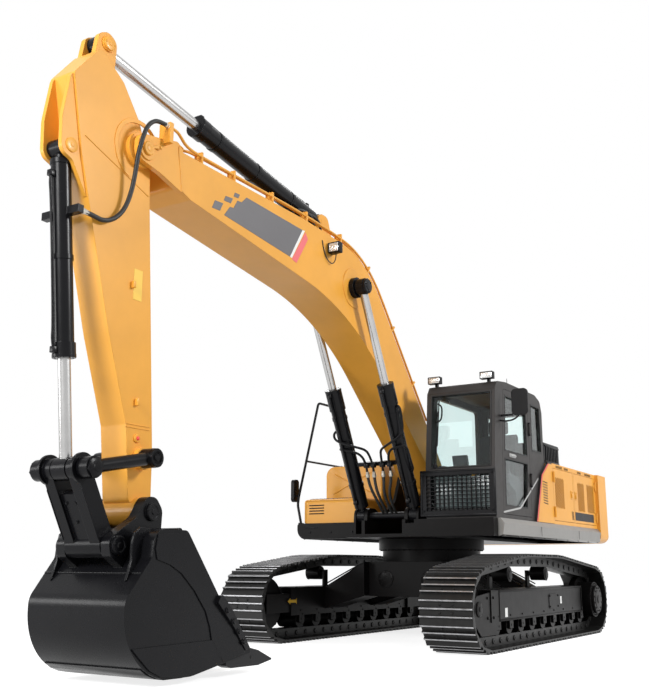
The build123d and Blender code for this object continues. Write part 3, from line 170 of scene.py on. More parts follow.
SLOTS = {"body_paint": BODY, "frame_paint": FRAME, "sill_paint": SILL, "trim_black": TRIM,
         "cylinder_paint": CYLINDER, "link_paint": LINK, "bucket_paint": BUCKET, "tooth_steel": TOOTH,
         "track_steel": TRACK, "engine_iron": IRON, "rod_chrome": CHROME, "cab_glass": GLASS,
         "seat_fabric": FABRIC, "cab_plastic": PLASTIC, "hose_rubber": RUBBER}
OWN_MATERIALS = {"cab_shell": CAB, "cab_door": CAB, "side_panel": CAB}
SLOT_OF = {material: slot for slot, material in SLOTS.items()}
SLOT_OF.update({CAB: "trim_black", GREY: "trim_black", WHITE: "sill_paint", RED: "body_paint",
                PINK: "body_paint", SILVER: "sill_paint", LABEL: "body_paint", ZINC: "rod_chrome",
                LENS: "cab_glass", FOOT_PANE_REFLECTION: "cab_glass"})
for row in frame["record"]["subparts"]:
    for place in frame["nodes"][row["node"]].material_slots:
        place.link = "OBJECT"
        place.material = OWN_MATERIALS.get(row["node"], SLOTS[row["material_slot"]])


# Shapes
SMALLEST_RADIUS = 0.0004     # so that no ring of a turned piece closes to a point
SHARP_ANGLE = math.radians(32)       # edges that turn by more than this stay crisp


class Form:
    """A mesh that grows by simple shapes until it becomes a piece."""

    def __init__(self):
        self.mesh = bmesh.new()

    def box(self, low, high, edge=0.003):
        """A box with rounded edges between two corners."""
        spans = [(min(pair), max(pair)) for pair in zip(low, high)]
        halves = [(last - first) / 2 * Vector(row) for (first, last), row in zip(spans, Matrix.Identity(3))]
        return self.slanted_box([sum(span) / 2 for span in spans], halves, edge)

    def slanted_box(self, centre, halves, edge=0.003):
        """A box with rounded edges, from its centre and the way from there to three of its faces."""
        corners = bmesh.ops.create_cube(self.mesh, size=2)["verts"]
        for corner in corners:
            steps = [half * share for half, share in zip(halves, corner.co)]
            corner.co = Vector(centre) + sum(steps, Vector())
        edges = {line for corner in corners for line in corner.link_edges}
        bmesh.ops.bevel(self.mesh, geom=list(edges), offset=edge, segments=2, affect="EDGES", profile=0.5)
        return self

    def boxes(self, low, high, step, count, edge=0.003):
        """Boxes in a row, the first of them between two corners."""
        for i in range(count):
            shift = Vector(step) * i
            self.box(Vector(low) + shift, Vector(high) + shift, edge)
        return self

    def rim(self, low, high, width, edge):
        """Four bars round a window that faces forward, between two corners."""
        for side in (0, 1):
            y = (low[1], high[1] - width)[side]
            z = (low[2], high[2] - width)[side]
            self.box((low[0], y, low[2]), (high[0], y + width, high[2]), edge)
            self.box((low[0], low[1], z), (high[0], high[1], z + width), edge)
        return self

    def prism(self, rims):
        """A plate between two rims with as many corners."""
        rims = [[self.mesh.verts.new(corner) for corner in rim] for rim in rims]
        for i in range(len(rims[0])):
            j = (i + 1) % len(rims[0])
            self.mesh.faces.new((rims[0][i], rims[0][j], rims[1][j], rims[1][i]))
        return [self.mesh.faces.new(rim) for rim in rims]

    def plate(self, outline, y_a, y_b, edge=0.002):
        """A plate across the machine with that side outline, given as x and z."""
        faces = self.prism([at_y(outline, y) for y in (y_a, y_b)])
        if edge:
            lines = {line for face in faces for line in face.edges}
            bmesh.ops.bevel(self.mesh, geom=list(lines), offset=edge, segments=1, affect="EDGES")
        return self

    def strip(self, outline, y_a, y_b, width):
        """A strip round an outline, laid inwards by its width."""
        middle = [sum(values) / len(outline) for values in zip(*outline)]
        shares = [width * 1.3 / math.dist(place, middle) for place in outline]
        inner = [(x + (middle[0] - x) * share, z + (middle[1] - z) * share)
                 for (x, z), share in zip(outline, shares)]
        for i in range(len(outline)):
            j = (i + 1) % len(outline)
            self.plate([outline[i], outline[j], inner[j], inner[i]], y_a, y_b, 0.0015)
        return self

    def turned(self, start, way, profile, segments=32, bore=None):
        """A turned piece: profile gives the way along its axis and the radius there, bore a hole's radius."""
        if bore:
            profile = [(profile[0][0], bore)] + list(profile) + [(profile[-1][0], bore)]
        start, axis = Vector(start), Vector(way).normalized()
        rings = [[self.mesh.verts.new(place) for place in
                  ring_of(start + axis * along, way, max(radius, SMALLEST_RADIUS), segments)]
                 for along, radius in profile]
        for ring, following in zip(rings, rings[1:] + ([rings[0]] if bore else [])):
            for i in range(segments):
                j = (i + 1) % segments
                self.mesh.faces.new((ring[i], ring[j], following[j], following[i]))
        if not bore:
            self.mesh.faces.new(rings[0])
            self.mesh.faces.new(rings[-1])
        return self

    def cap(self, pin, y, way, profile, segments=32):
        """A turned piece on a pin across the machine, given as x and z, from y towards that way."""
        return self.turned((pin[0], y, pin[1]), (0, way, 0), profile, segments)

    def bar(self, start, end, radius, tip, taper, segments=8):
        """A round bar between two places, with tapered ends."""
        start, end = Vector(start), Vector(end)
        length = (end - start).length
        profile = [(0, tip), (taper, radius), (length - taper, radius), (length, tip)]
        return self.turned(start, end - start, profile, segments)

    def bolt(self, place, way, radius):
        """A hexagon head on its washer."""
        place, way = Vector(place), Vector(way).normalized()
        self.turned(place - way * radius * 0.2, way, [(0, radius * 1.3), (radius * 0.4, radius * 1.3)], 16)
        head = [(0, radius), (radius * 0.75, radius), (radius * 0.9, radius * 0.8)]
        return self.turned(place, way, head, 6)

    def bolts(self, places, way, radius):
        for place in places:
            self.bolt(place, way, radius)
        return self

    def piece(self, name, body, material):
        """Turns the mesh into a piece that moves with a body."""
        bmesh.ops.recalc_face_normals(self.mesh, faces=self.mesh.faces)
        data = bpy.data.meshes.new(name)
        self.mesh.to_mesh(data)
        self.mesh.free()
        data.polygons.foreach_set("use_smooth", [True] * len(data.polygons))
        data.set_sharp_from_angle(angle=SHARP_ANGLE)
        data.materials.append(material)
        made = link(bpy.data.objects.new(name, data))
        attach(made, body)


def link(made):
    bpy.context.scene.collection.objects.link(made)
    return made


def ring_of(centre, way, radius, count, start=0.0):
    """Places evenly round an axis."""
    way = Vector(way).normalized()
    side = way.orthogonal().normalized()
    other = way.cross(side)
    turns = [start + 2 * math.pi * i / count for i in range(count)]
    return [Vector(centre) + (side * math.cos(a) + other * math.sin(a)) * radius for a in turns]


def line_of(name, points, radius):
    """A smooth line through space with those control points."""
    data = bpy.data.curves.new(name, "CURVE")
    data.dimensions = "3D"
    data.resolution_u = 8
    data.bevel_depth = radius
    data.bevel_resolution = 3
    data.use_fill_caps = True
    spline = data.splines.new("NURBS")
    spline.points.add(len(points) - 1)
    for point, place in zip(spline.points, points):
        point.co = (*place, 1)
    spline.order_u = 3
    spline.use_endpoint_u = True
    return link(bpy.data.objects.new(name, data))


def pipe(name, points, radius, body, material):
    made = line_of(name, points, radius)
    made.data.materials.append(material)
    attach(made, body)


def tube(name, points, radius, material):
    """The same as a mesh without a body, with the places that its middle follows."""
    line = line_of(name + "_line", points, 0)
    bpy.context.view_layer.update()
    route = [tuple(v.co) for v in bpy.data.meshes.new_from_object(line).vertices]
    line.data.bevel_depth = radius
    bpy.context.view_layer.update()
    shaped = bpy.context.evaluated_depsgraph_get()
    data = bpy.data.meshes.new_from_object(line.evaluated_get(shaped))
    data.name = name
    bpy.data.objects.remove(line)
    data.polygons.foreach_set("use_smooth", [True] * len(data.polygons))
    data.materials.clear()
    data.materials.append(material)
    made = link(bpy.data.objects.new(name, data))
    return made, route


def arc(centre, radius, first, last, count):
    """Points x, z on part of a circle, by angles in degrees."""
    turns = [math.radians(first + (last - first) * i / (count - 1)) for i in range(count)]
    return [(centre[0] + radius * math.cos(a), centre[1] + radius * math.sin(a)) for a in turns]


def rectangle(x_a, x_b, z_a, z_b):
    return [(x_a, z_a), (x_b, z_a), (x_b, z_b), (x_a, z_b)]


def band(a, b, half):
    """The corners of a straight strip from a to b, that far to each side."""
    length = math.dist(a, b)
    nx, nz = -(b[1] - a[1]) / length * half, (b[0] - a[0]) / length * half
    return [(a[0] + nx, a[1] + nz), (a[0] - nx, a[1] - nz), (b[0] - nx, b[1] - nz), (b[0] + nx, b[1] + nz)]


def at_y(points, y):
    """Points x, z as places at that y."""
    return [(x, y, z) for x, z in points]


# Camera: fitted to the photograph
EYE = Vector((11.56061, 5.48207, 0.89013))
YAW, PITCH, ROLL = math.radians(-148.248), math.radians(12.979), math.radians(0.181)
FOCAL = 940.1        # pixels
PHOTO_HEIGHT = 699
ahead = Vector((math.cos(YAW) * math.cos(PITCH), math.sin(YAW) * math.cos(PITCH), math.sin(PITCH)))
right = ahead.cross(Vector((0, 0, 1))).normalized()
above = right.cross(ahead)
right, above = (right * math.cos(ROLL) + above * math.sin(ROLL),
                above * math.cos(ROLL) - right * math.sin(ROLL))
camera = link(bpy.data.objects.new("camera", bpy.data.cameras.new("camera")))
camera.matrix_world = Matrix((
    (right.x, above.x, -ahead.x, EYE.x), (right.y, above.y, -ahead.y, EYE.y),
    (right.z, above.z, -ahead.z, EYE.z), (0, 0, 0, 1)))
camera.data.sensor_width = 36
camera.data.lens = FOCAL * camera.data.sensor_width / PHOTO_HEIGHT
bpy.context.scene.camera = camera


# Floor, world and lamps
FLOOR_HALF = 90
FLOOR_Z = -0.002     # just under the shoes
FLOOR_GLOW = 0.80    # what makes the floor white in the picture, apart from shadows
SKY_GLOW = 0.42


def seen_directly(tree):
    """1 for rays from the camera, mirrored or through glass, else 0."""
    path = tree.nodes.new("ShaderNodeLightPath")
    value = path.outputs["Is Camera Ray"]
    for name in ("Is Glossy Ray", "Is Transmission Ray"):
        larger = tree.nodes.new("ShaderNodeMath")
        larger.operation = "MAXIMUM"
        tree.links.new(value, larger.inputs[0])
        tree.links.new(path.outputs[name], larger.inputs[1])
        value = larger.outputs[0]
    return value


floor_material, tree, shader = new_material("floor")
shader.inputs["Base Color"].default_value = (0.5, 0.5, 0.5, 1)
shader.inputs["Roughness"].default_value = 0.95
shader.inputs["Specular IOR Level"].default_value = 0
glow = tree.nodes.new("ShaderNodeEmission")
lift = tree.nodes.new("ShaderNodeMath")
lift.operation = "MULTIPLY"
lift.inputs[1].default_value = FLOOR_GLOW
tree.links.new(seen_directly(tree), lift.inputs[0])
tree.links.new(lift.outputs[0], glow.inputs["Strength"])
both = tree.nodes.new("ShaderNodeAddShader")
tree.links.new(shader.outputs[0], both.inputs[0])
tree.links.new(glow.outputs[0], both.inputs[1])
tree.links.new(both.outputs[0], tree.nodes["Material Output"].inputs["Surface"])
floor_mesh = bpy.data.meshes.new("floor")
floor_corners = [(x, y, FLOOR_Z) for x, y in rectangle(-FLOOR_HALF, FLOOR_HALF, -FLOOR_HALF, FLOOR_HALF)]
floor_mesh.from_pydata(floor_corners, [], [(0, 1, 2, 3)])
floor_mesh.materials.append(floor_material)
floor = link(bpy.data.objects.new("floor", floor_mesh))

world = bpy.data.worlds.new("world")
bpy.context.scene.world = world
world.use_nodes = True
tree = world.node_tree
sky = tree.nodes["Background"]
sky.inputs["Color"].default_value = (0.94, 0.97, 1.0, 1)
sky.inputs["Strength"].default_value = SKY_GLOW
white = tree.nodes.new("ShaderNodeBackground")
white.inputs["Color"].default_value = (1, 1, 1, 1)
blend = tree.nodes.new("ShaderNodeMixShader")
tree.links.new(seen_directly(tree), blend.inputs["Fac"])
tree.links.new(sky.outputs[0], blend.inputs[1])
tree.links.new(white.outputs[0], blend.inputs[2])
tree.links.new(blend.outputs[0], tree.nodes["World Output"].inputs["Surface"])


def area_lamp(name, place, target, size, watts):
    lamp = link(bpy.data.objects.new(name, bpy.data.lights.new(name, "AREA")))
    lamp.data.shape = "DISK"
    lamp.data.size = size
    lamp.data.energy = watts
    lamp.location = place
    lamp.rotation_euler = (Vector(target) - Vector(place)).to_track_quat("-Z", "Y").to_euler()


area_lamp("key", (-3, 17, 11), (2, 0, 2), 4, 2650)
area_lamp("fill", (18, 1, 8), (2, -0.5, 1.5), 6, 1900)
area_lamp("front", (14, -9, 4), (5, -0.3, 1.0), 4, 420)
area_lamp("back", (-12, -9, 12), (0, 0, 1.5), 8, 900)
bpy.context.scene.view_settings.view_transform = "Standard"

# Bodies that many pieces ride
UPPER = "upper_structure"
UNDER = "undercarriage"
BARRELS = "boom_cylinder_barrels"
SIDES = ((1, "left"), (-1, "right"))

# Places of the frame, as x and z where they lie in the side view
TRACK_MIDDLE = 1.295         # from the middle plane to the middle of a track
FRAME_HALF = 0.170           # half the width of a track frame
IDLER = (2.010, 0.450)
SPROCKET = (-2.030, 0.450)
CARRIERS = ((0.830, 0.793), (-0.450, 0.793))
ROLLERS = [(1.400 - 0.380 * i, 0.252) for i in range(9)]
KEEPER_Z = 0.335             # of the bolts over the rollers' ends
BOOM_NOSE = (6.000, 4.380)
BOOM_EYE = (2.460, 4.040)
BOOM_CYLINDER_FOOT = (1.170, 1.500)
ARM_CYLINDER_FOOT = (2.900, 4.740)
ARM_EYE = (6.390, 5.220)
BUCKET_CYLINDER_FOOT = (6.735, 4.150)
BUCKET_PIN = (5.790, 1.310)
LINK_PIN = (5.800, 1.740)
ROD_PIN = (6.460, 1.610)
BUCKET_LINK_PIN = (6.155, 1.040)
BOOM_SIDE = 0.240
ARM_SIDE = 0.140
HOUSE_SIDE = 1.450
CAB_SIDE = 1.420
SKIN = 0.0015        # how far a film or a plate stands off what it lies on


def repaint(node, material, chosen):
    """Another finish on a node's faces, where chosen says so."""
    data = frame["nodes"][node].data
    data.materials.append(material)
    for face in data.polygons:
        if chosen(face):
            face.material_index = len(data.materials) - 1


# Rods' eyes and the outer ends of the pins, by how near they are to the pin and how far from the middle plane
for node, pin, reach, inner, material in (
        ("boom_cylinder_rods", BOOM_EYE, 0.150, 0, CYLINDER),
        ("arm_cylinder_rod", ARM_EYE, 0.150, 0, CYLINDER),
        ("bucket_cylinder_rod", ROD_PIN, 0.130, 0, LINK),
        ("boom", BOOM_EYE, 0.130, BOOM_SIDE + 0.005, CYLINDER),
        ("arm", LINK_PIN, 0.110, ARM_SIDE + 0.060, LINK)):
    repaint(node, material, lambda face: math.dist((face.center.x, face.center.z), pin) < reach
            and abs(face.center.y) >= inner)

# Undercarriage
SHOE_WIDTH = 0.600
STRIP = 0.051        # the flat strip between two grousers
TIP = 0.0145         # a grouser's tip
STRIP_TO_PIN = 0.067
PIN_BELOW_STRIP = 0.064


def is_across(triangle, depth, share):
    """Whether a triangle is half of a shoe's face with that depth, give or take that share."""
    return abs(triangle.area / (SHOE_WIDTH * depth / 2) - 1) <= share and abs(triangle.normal.y) <= 0.01


def shoe_strips(node):
    """The middle and the outward way of each flat strip of the shoes, from the track's own mesh."""
    data = frame["nodes"][node].data
    strips = {}
    for triangle in data.polygons:
        if is_across(triangle, STRIP, 0.04):
            corners = [data.vertices[i].co for i in triangle.vertices]
            a, b = max(zip(corners, corners[1:] + corners[:1]), key=lambda pair: (pair[0] - pair[1]).length)
            middle = (a + b) / 2
            strips[tuple(round(value, 2) for value in middle)] = (middle, triangle.normal.copy())
    return list(strips.values())


for side, hand in SIDES:
    strips = shoe_strips("crawler_track_" + hand)
    # The grouser tips get the bright metal: painted highlight along the grousers' edges
    repaint("crawler_track_" + hand, TIP_HIGHLIGHT, lambda face: is_across(face, TIP, 0.06))
    bolts = Form()
    pins = []
    for middle, way in strips:
        bolts.bolts([middle + Vector((0, off, 0)) for off in (-0.072, 0.072)], way, 0.013)
        others = [other for other, _ in strips if other != middle]
        twin = min(others, key=lambda other: (other - middle).length)
        pin = middle + (middle - twin).normalized() * STRIP_TO_PIN - way * PIN_BELOW_STRIP
        if all((pin - placed).length > 0.03 for placed in pins):
            pins.append(pin)
    bolts.piece("shoe_bolts_" + hand, UNDER, TRACK)
    chain = Form()
    for pin in pins:
        for way in (1, -1):
            chain.cap((pin.x, pin.z), pin.y + way * 0.093, way,
                      [(0, 0.030), (0.010, 0.030), (0.013, 0.026), (0.013, 0.012), (0.009, 0.010)], 16)
    chain.piece("chain_pins_" + hand, UNDER, TRACK)
    out = (0, side, 0)
    middle = side * TRACK_MIDDLE
    face = middle + side * FRAME_HALF
    caps = Form()
    for pin in ROLLERS:
        for way in (side, -side):
            caps.cap(pin, middle + way * 0.139, way,
                     [(0, 0.052), (0.018, 0.050), (0.026, 0.038), (0.026, 0.014), (0.034, 0.012),
                      (0.036, 0.006)], 20)
            keeper = (pin[0], middle + way * 0.169, KEEPER_Z)
            caps.bolts(ring_of(keeper, (0, way, 0), 0.032, 2), (0, way, 0), 0.010)
    for pin in CARRIERS:
        caps.cap(pin, middle + side * 0.094, side,
                 [(0, 0.075), (0.004, 0.075), (0.010, 0.052), (0.016, 0.050), (0.018, 0.020)], 28)
    caps.piece("roller_caps_" + hand, UNDER, FRAME)
    drive = Form().cap(SPROCKET, middle + side * 0.279, side,
                       [(0, 0.188), (0.008, 0.188), (0.014, 0.180), (0.014, 0.130), (0.020, 0.124),
                        (0.022, 0.060), (0.030, 0.052), (0.031, 0.020)], 48)
    for off, radius, count, size in ((0.293, 0.157, 12, 0.011), (0.250, 0.212, 24, 0.010)):
        drive.bolts(ring_of((SPROCKET[0], middle + side * off, SPROCKET[1]), out, radius, count), out, size)
    drive.piece("drive_cover_" + hand, UNDER, FRAME)
    hub = (IDLER[0] - 0.040, IDLER[1])
    yoke = Form().cap(hub, face + side * 0.004, side,
                      [(0, 0.082), (0.010, 0.080), (0.016, 0.060), (0.016, 0.030), (0.022, 0.026),
                       (0.024, 0.008)])
    yoke.bolts(ring_of((hub[0], face + side * 0.012, hub[1]), out, 0.068, 6), out, 0.009)
    yoke.bolts([(x, face + side * 0.004, z) for x in (1.730, 1.560) for z in (0.560, 0.350)], out, 0.014)
    yoke.plate(rectangle(1.630, 1.648, 0.300, 0.640), face, face + side * 0.016)
    yoke.piece("yoke_fittings_" + hand, UNDER, FRAME)
    rims = Form()
    for x_a, x_b, z_a, z_b in ((-1.640, 1.390, 0.612, 0.640), (-1.640, 1.390, 0.300, 0.322),
                               (-1.640, -1.622, 0.322, 0.612), (1.372, 1.390, 0.322, 0.612)):
        rims.box((x_a, face - side * 0.002, z_a), (x_b, face + side * 0.012, z_b), 0.004)
    rims.plate([(-0.660, 0.400), (-0.640, 0.380), (-0.320, 0.380), (-0.300, 0.400), (-0.300, 0.540),
                (-0.320, 0.560), (-0.640, 0.560), (-0.660, 0.540)], face, face + side * 0.006)
    rims.bolts([(x, face + side * 0.007, z) for x in (-0.635, -0.325) for z in (0.405, 0.535)], out, 0.010)
    rims.piece("frame_rims_" + hand, UNDER, FRAME)
    plates = Form()
    for outline in (rectangle(1.130, 1.210, 0.340, 0.440), rectangle(-0.800, -0.740, 0.430, 0.520)):
        plates.plate(outline, face, face + side * SKIN, 0)
    plates.piece("frame_labels_" + hand, UNDER, WHITE)

# A plain arrow on the inner side of the far track frame shows which way is forward
ARROW_Y = FRAME_HALF - TRACK_MIDDLE
Form().plate([(1.540, 0.452), (1.660, 0.452), (1.660, 0.432), (1.720, 0.470), (1.660, 0.508), (1.660, 0.488),
              (1.540, 0.488), (1.520, 0.508), (1.520, 0.432)], ARROW_Y, ARROW_Y + SKIN, 0
             ).piece("travel_arrow", UNDER, LABEL)

covers = Form()
for way in (1, -1):
    for y in (-0.300, 0.300):
        covers.turned((way * 0.718, y, 0.735), (way, 0, 0),
                      [(0, 0.105), (0.012, 0.105), (0.016, 0.098), (0.016, 0.030), (0.020, 0.026)])
        covers.bolts(ring_of((way * 0.730, y, 0.735), (way, 0, 0), 0.085, 8), (way, 0, 0), 0.009)
covers.bolts(ring_of((0, 0, 1.099), (0, 0, 1), 0.664, 48), (0, 0, -1), 0.012)
covers.piece("carbody_covers", UNDER, FRAME)
for side, hand in SIDES:
    for x in (0.380, 0.860, -0.380, -0.860):
        pipe("leg_weld_%s_%d" % (hand, round(x * 1000) % 10000),
             [(x, side * 0.560, 0.930), (x, side * 0.700, 0.872), (x, side * 1.100, 0.672)], 0.008, UNDER,
             FRAME)


# House, deck and tanks
def side_film(name, outline, body, material, y=HOUSE_SIDE, thick=SKIN):
    """A film or plate stuck on a left-hand face."""
    Form().plate(outline, y, y + thick, 0).piece(name, body, material)


side_film("red_stripe", [(-0.082, 1.445), (-0.044, 1.445), (-0.303, 2.050), (-0.341, 2.050)], UPPER, RED)
side_film("red_stripe_top", [(-0.341, 2.050), (-0.303, 2.050), (-0.556, 2.216), (-0.612, 2.222)], UPPER, RED)
side_film("side_yellow", [(-0.088, 1.445), (-0.347, 2.050), (-0.618, 2.222), (-0.722, 2.222),
                          (-0.722, 1.445)], UPPER, BODY)
side_film("door_plate", rectangle(-2.540, -1.650, 1.525, 1.640), "side_door_rear", TRIM)
for i in range(3):
    x = -1.585 + 0.030 * i
    dash = [(x, 1.525), (x + 0.014, 1.525), (x + 0.030, 1.640), (x + 0.016, 1.640)]
    side_film("plate_dash_%d" % (i + 1), dash, "side_door_front", TRIM)
slots = Form()
for i in range(9):
    z = 1.680 + i * 0.034
    slots.plate([(-0.500, z), (-0.330, z + 0.012), (-0.330, z + 0.024), (-0.500, z + 0.012)],
                HOUSE_SIDE + SKIN, HOUSE_SIDE + 0.004)
slots.piece("side_slots", UPPER, TRIM)
top_slots = Form()
for x, count in ((-0.900, 9), (-1.250, 6), (-1.850, 6), (-2.200, 10)):
    top_slots.boxes((x, HOUSE_SIDE - 0.002, 2.190), (x + 0.012, HOUSE_SIDE + 0.003, 2.222), (-0.030, 0, 0),
                    count, 0.001)
top_slots.piece("top_slots", UPPER, TRIM)

# Paddle latches in their dishes, with key covers
LATCH_Z = 1.865
for name, x, side, body in (("latch_front", -1.530, 1, "side_door_front"),
                            ("latch_rear", -1.720, 1, "side_door_rear"),
                            ("latch_pump", -1.580, -1, "pump_door")):
    y, z = side * HOUSE_SIDE, LATCH_Z
    dish = Form().plate(rectangle(x - 0.050, x + 0.050, z - 0.060, z + 0.060), y - side * 0.002,
                        y + side * 0.006, 0.003)
    dish.box((x - 0.034, y + side * 0.004, z - 0.040), (x + 0.034, y + side * 0.016, z + 0.020), 0.005)
    dish.cap((x, z + 0.040), y + side * 0.004, side, [(0, 0.013), (0.008, 0.013), (0.010, 0.010)], 20)
    dish.piece(name, body, BODY)

for name, x_a, x_b, body in (("screen_front", -1.235, -0.775, "side_door_front"),
                             ("screen_rear", -2.630, -1.760, "side_door_rear")):
    side_film(name, rectangle(x_a, x_b, 1.640, 2.080), body, TRIM, 1.4165, 0.003)

# Roof of the house: ribs on the hood, walkway plates, exhaust, filler and lifting eyes
ribs = Form().boxes((-2.500, -0.548, 2.238), (-1.640, -0.492, 2.252), (0, 0.260, 0), 5, 0.006)
ribs.box((-2.560, -0.120, 2.238), (-2.520, 0.120, 2.262), 0.006)
ribs.piece("hood_ribs", "engine_hood", BODY)

# Dark walkway plates with rows of raised dimples
DIMPLE_PITCH = 0.055
for name, low, high, body in (("tread_hood", (-2.480, -0.230, 2.238), (-1.660, -0.050, 2.256), "engine_hood"),
                              ("tread_tank", (-0.180, -1.260, 2.239), (0.020, -0.640, 2.246), UPPER),
                              ("tread_oil_tank", (-0.660, -1.260, 2.239), (-0.300, -0.640, 2.246), UPPER),
                              ("tread_box", (0.360, -1.380, 1.759), (0.820, -0.620, 1.766), UPPER)):
    tread = Form().box(low, high, 0.002)
    columns, rows = [int((high[k] - low[k]) / DIMPLE_PITCH) for k in (0, 1)]
    for i in range(columns):
        for j in range(rows):
            x = low[0] + (i + 0.5) * (high[0] - low[0]) / columns
            y = low[1] + (j + 0.5) * (high[1] - low[1]) / rows
            tread.turned((x, y, high[2] - 0.001), (0, 0, 1), [(0, 0.013), (0.004, 0.010), (0.0045, 0.006)], 8)
    tread.piece(name, body, TRIM)

stack = Form().turned((-2.000, -1.060, 2.230), (0, 0, 1),
                      [(0, 0.105), (0.012, 0.105), (0.016, 0.090), (0.020, 0.080), (0.100, 0.078),
                       (0.104, 0.066), (0.250, 0.064)])
stack.turned((-2.000, -1.060, 2.470), (-0.35, 0, 1),
             [(0, 0.066), (0.150, 0.064), (0.152, 0.056), (0.080, 0.054)])
stack.piece("exhaust_stack", UPPER, IRON)
caps = Form()
for x, y in ((0.180, -0.980), (-0.480, -0.940)):
    caps.turned((x, y, 2.238), (0, 0, 1), [(0, 0.070), (0.014, 0.070), (0.018, 0.056), (0.040, 0.056),
                                           (0.046, 0.050), (0.048, 0.012)])
caps.piece("filler_caps", UPPER, TRIM)
eyes = Form()
for y in (-0.900, 0.900):
    eyes.plate([(-3.050, 2.236), (-2.910, 2.236), (-2.920, 2.256), (-2.950, 2.262), (-3.010, 2.262),
                (-3.040, 2.256)], y - 0.020, y + 0.020, 0.004)
eyes.piece("lifting_eyes", UPPER, BODY)

# Counterweight: seam, plugs and tail lamps on their plates
TAIL_R = 3.440       # the radius of its back


def tail_x(y):
    """How far back the counterweight's face is at that y."""
    return -math.sqrt(TAIL_R ** 2 - y ** 2)


fittings = Form()
lights = Form()
for y in (-1.150, 1.150):
    back = Vector((tail_x(y), y, 0)).normalized()
    for form, wide, high, deep in ((fittings, 0.110, 0.060, 0.010), (lights, 0.095, 0.046, 0.014)):
        form.slanted_box(Vector((tail_x(y), y, 1.620)) + back * deep / 2,
                         (Vector((-back.y, back.x, 0)) * wide, back * deep, Vector((0, 0, high))))
for y in (-0.420, 0.420):
    fittings.turned((tail_x(y) + 0.004, y, 1.420), (-1, 0, 0),
                    [(0, 0.060), (0.008, 0.060), (0.012, 0.050), (0.012, 0.020)], 28)
fittings.piece("weight_fittings", UPPER, TRIM)
lights.piece("tail_lamps", UPPER, RED)
seam_y = [-1.440 + 0.240 * i for i in range(13)]
pipe("weight_seam", [(tail_x(y) + 0.007, y, 1.800) for y in seam_y], 0.007, UPPER, BODY)

# Intake box: louvres and ribs
louvres = Form().boxes((-1.345, 1.322, 2.290), (-1.319, 1.338, 2.490), (0.065, 0, 0), 8, 0.004)
louvres.boxes((-1.400, 1.322, 2.275), (-0.810, 1.342, 2.295), (0, 0, 0.210), 2, 0.004)
louvres.piece("intake_louvres", UPPER, TRIM)
ribs = Form().boxes((-1.330, 0.860, 2.536), (-1.270, 1.230, 2.548), (0.115, 0, 0), 5, 0.005)
ribs.piece("intake_ribs", UPPER, TRIM)

# Right-hand side: embossed tanks, tool box, bumper and sills
marks = Form()
for x_a, x_b in ((-0.180, 0.250), (-0.670, -0.290)):
    for start, end in (((x_a, 1.560), (x_b, 2.020)), ((x_a, 2.020), (x_b, 1.560))):
        marks.plate(band(start, end, 0.014), -1.449, -1.456)
marks.piece("tank_ribs", UPPER, BODY)
marks = Form()
for z_a, z_b in ((1.860, 2.140), (2.140, 1.860)):
    marks.bar((0.311, -1.330, z_a), (0.311, -0.720, z_b), 0.009, 0.004, 0.020, 10)
marks.boxes((0.308, -1.300, 1.800), (0.316, -1.240, 1.812), (0, 0.120, 0), 6)
marks.piece("tank_front_marks", UPPER, BODY)
grille = Form().boxes((0.874, -1.360, 1.560), (0.8795, -1.130, 1.574), (0, 0, 0.036), 4, 0.002)
grille.box((0.560, -1.455, 1.640), (0.620, -1.449, 1.690), 0.002).piece("tool_box_grille", UPPER, TRIM)
bumper = Form().box((0.948, -1.380, 1.372), (0.9515, -1.180, 1.392), 0.0015)
bumper.bolts([(0.950, y, 1.320) for y in (-1.300, -0.980, -0.660)], (1, 0, 0), 0.012)
bumper.piece("bumper_fittings", UPPER, TRIM)
Form().box((0.950, -0.620, 1.330), (0.9515, -0.500, 1.400), 0.0005).piece("bumper_label", UPPER, WHITE)
sill_bolts = Form()
seams = Form()
for side, front in ((1, 1.150), (-1, 0.820)):
    sill_bolts.bolts([(-2.600 + i * (front + 2.600) / 8, side * 1.470, 1.2425) for i in range(9)],
                     (0, side * 0.15, -1), 0.010)
    for x in (-1.620, -0.060):
        seams.box((x - 0.003, side * 1.4985, 1.262), (x + 0.003, side * 1.5015, 1.378), 0.001)
sill_bolts.piece("sill_bolts", UPPER, SILL)
seams.piece("sill_seams", UPPER, TRIM)

# Cab: gaskets, handle and hinges
for name, body, outlines in (
        ("quarter_gasket", UPPER, [[(-0.420, 2.330), (-0.060, 2.330), (-0.060, 2.950), (-0.400, 2.950)]]),
        ("door_gaskets", "cab_door", [[(0.115, 2.240), (0.905, 2.240), (0.845, 2.930), (0.115, 2.930)],
                                      [(0.180, 1.590), (0.930, 1.590), (0.910, 2.160), (0.115, 2.160)]])):
    gaskets = Form()
    for outline in outlines:
        gaskets.strip(outline, CAB_SIDE - 0.004, CAB_SIDE + 0.003, 0.020)
    gaskets.piece(name, body, RUBBER)
handle = Form().box((0.560, CAB_SIDE - 0.002, 2.180), (0.760, CAB_SIDE + 0.010, 2.225), 0.006)
handle.box((0.585, CAB_SIDE + 0.008, 2.190), (0.735, CAB_SIDE + 0.030, 2.212), 0.008)
handle.piece("door_handle", "cab_door", SILVER)
hinge_caps = Form()
for z in (1.950, 2.600):
    for way in (-1, 1):
        hinge_caps.turned((0.050, CAB_SIDE + 0.0145, z + way * 0.080), (0, 0, way),
                          [(-0.012, 0.0155), (0, 0.0155), (0.006, 0.010)], 16)
hinge_caps.piece("cab_hinge_caps", UPPER, TRIM)

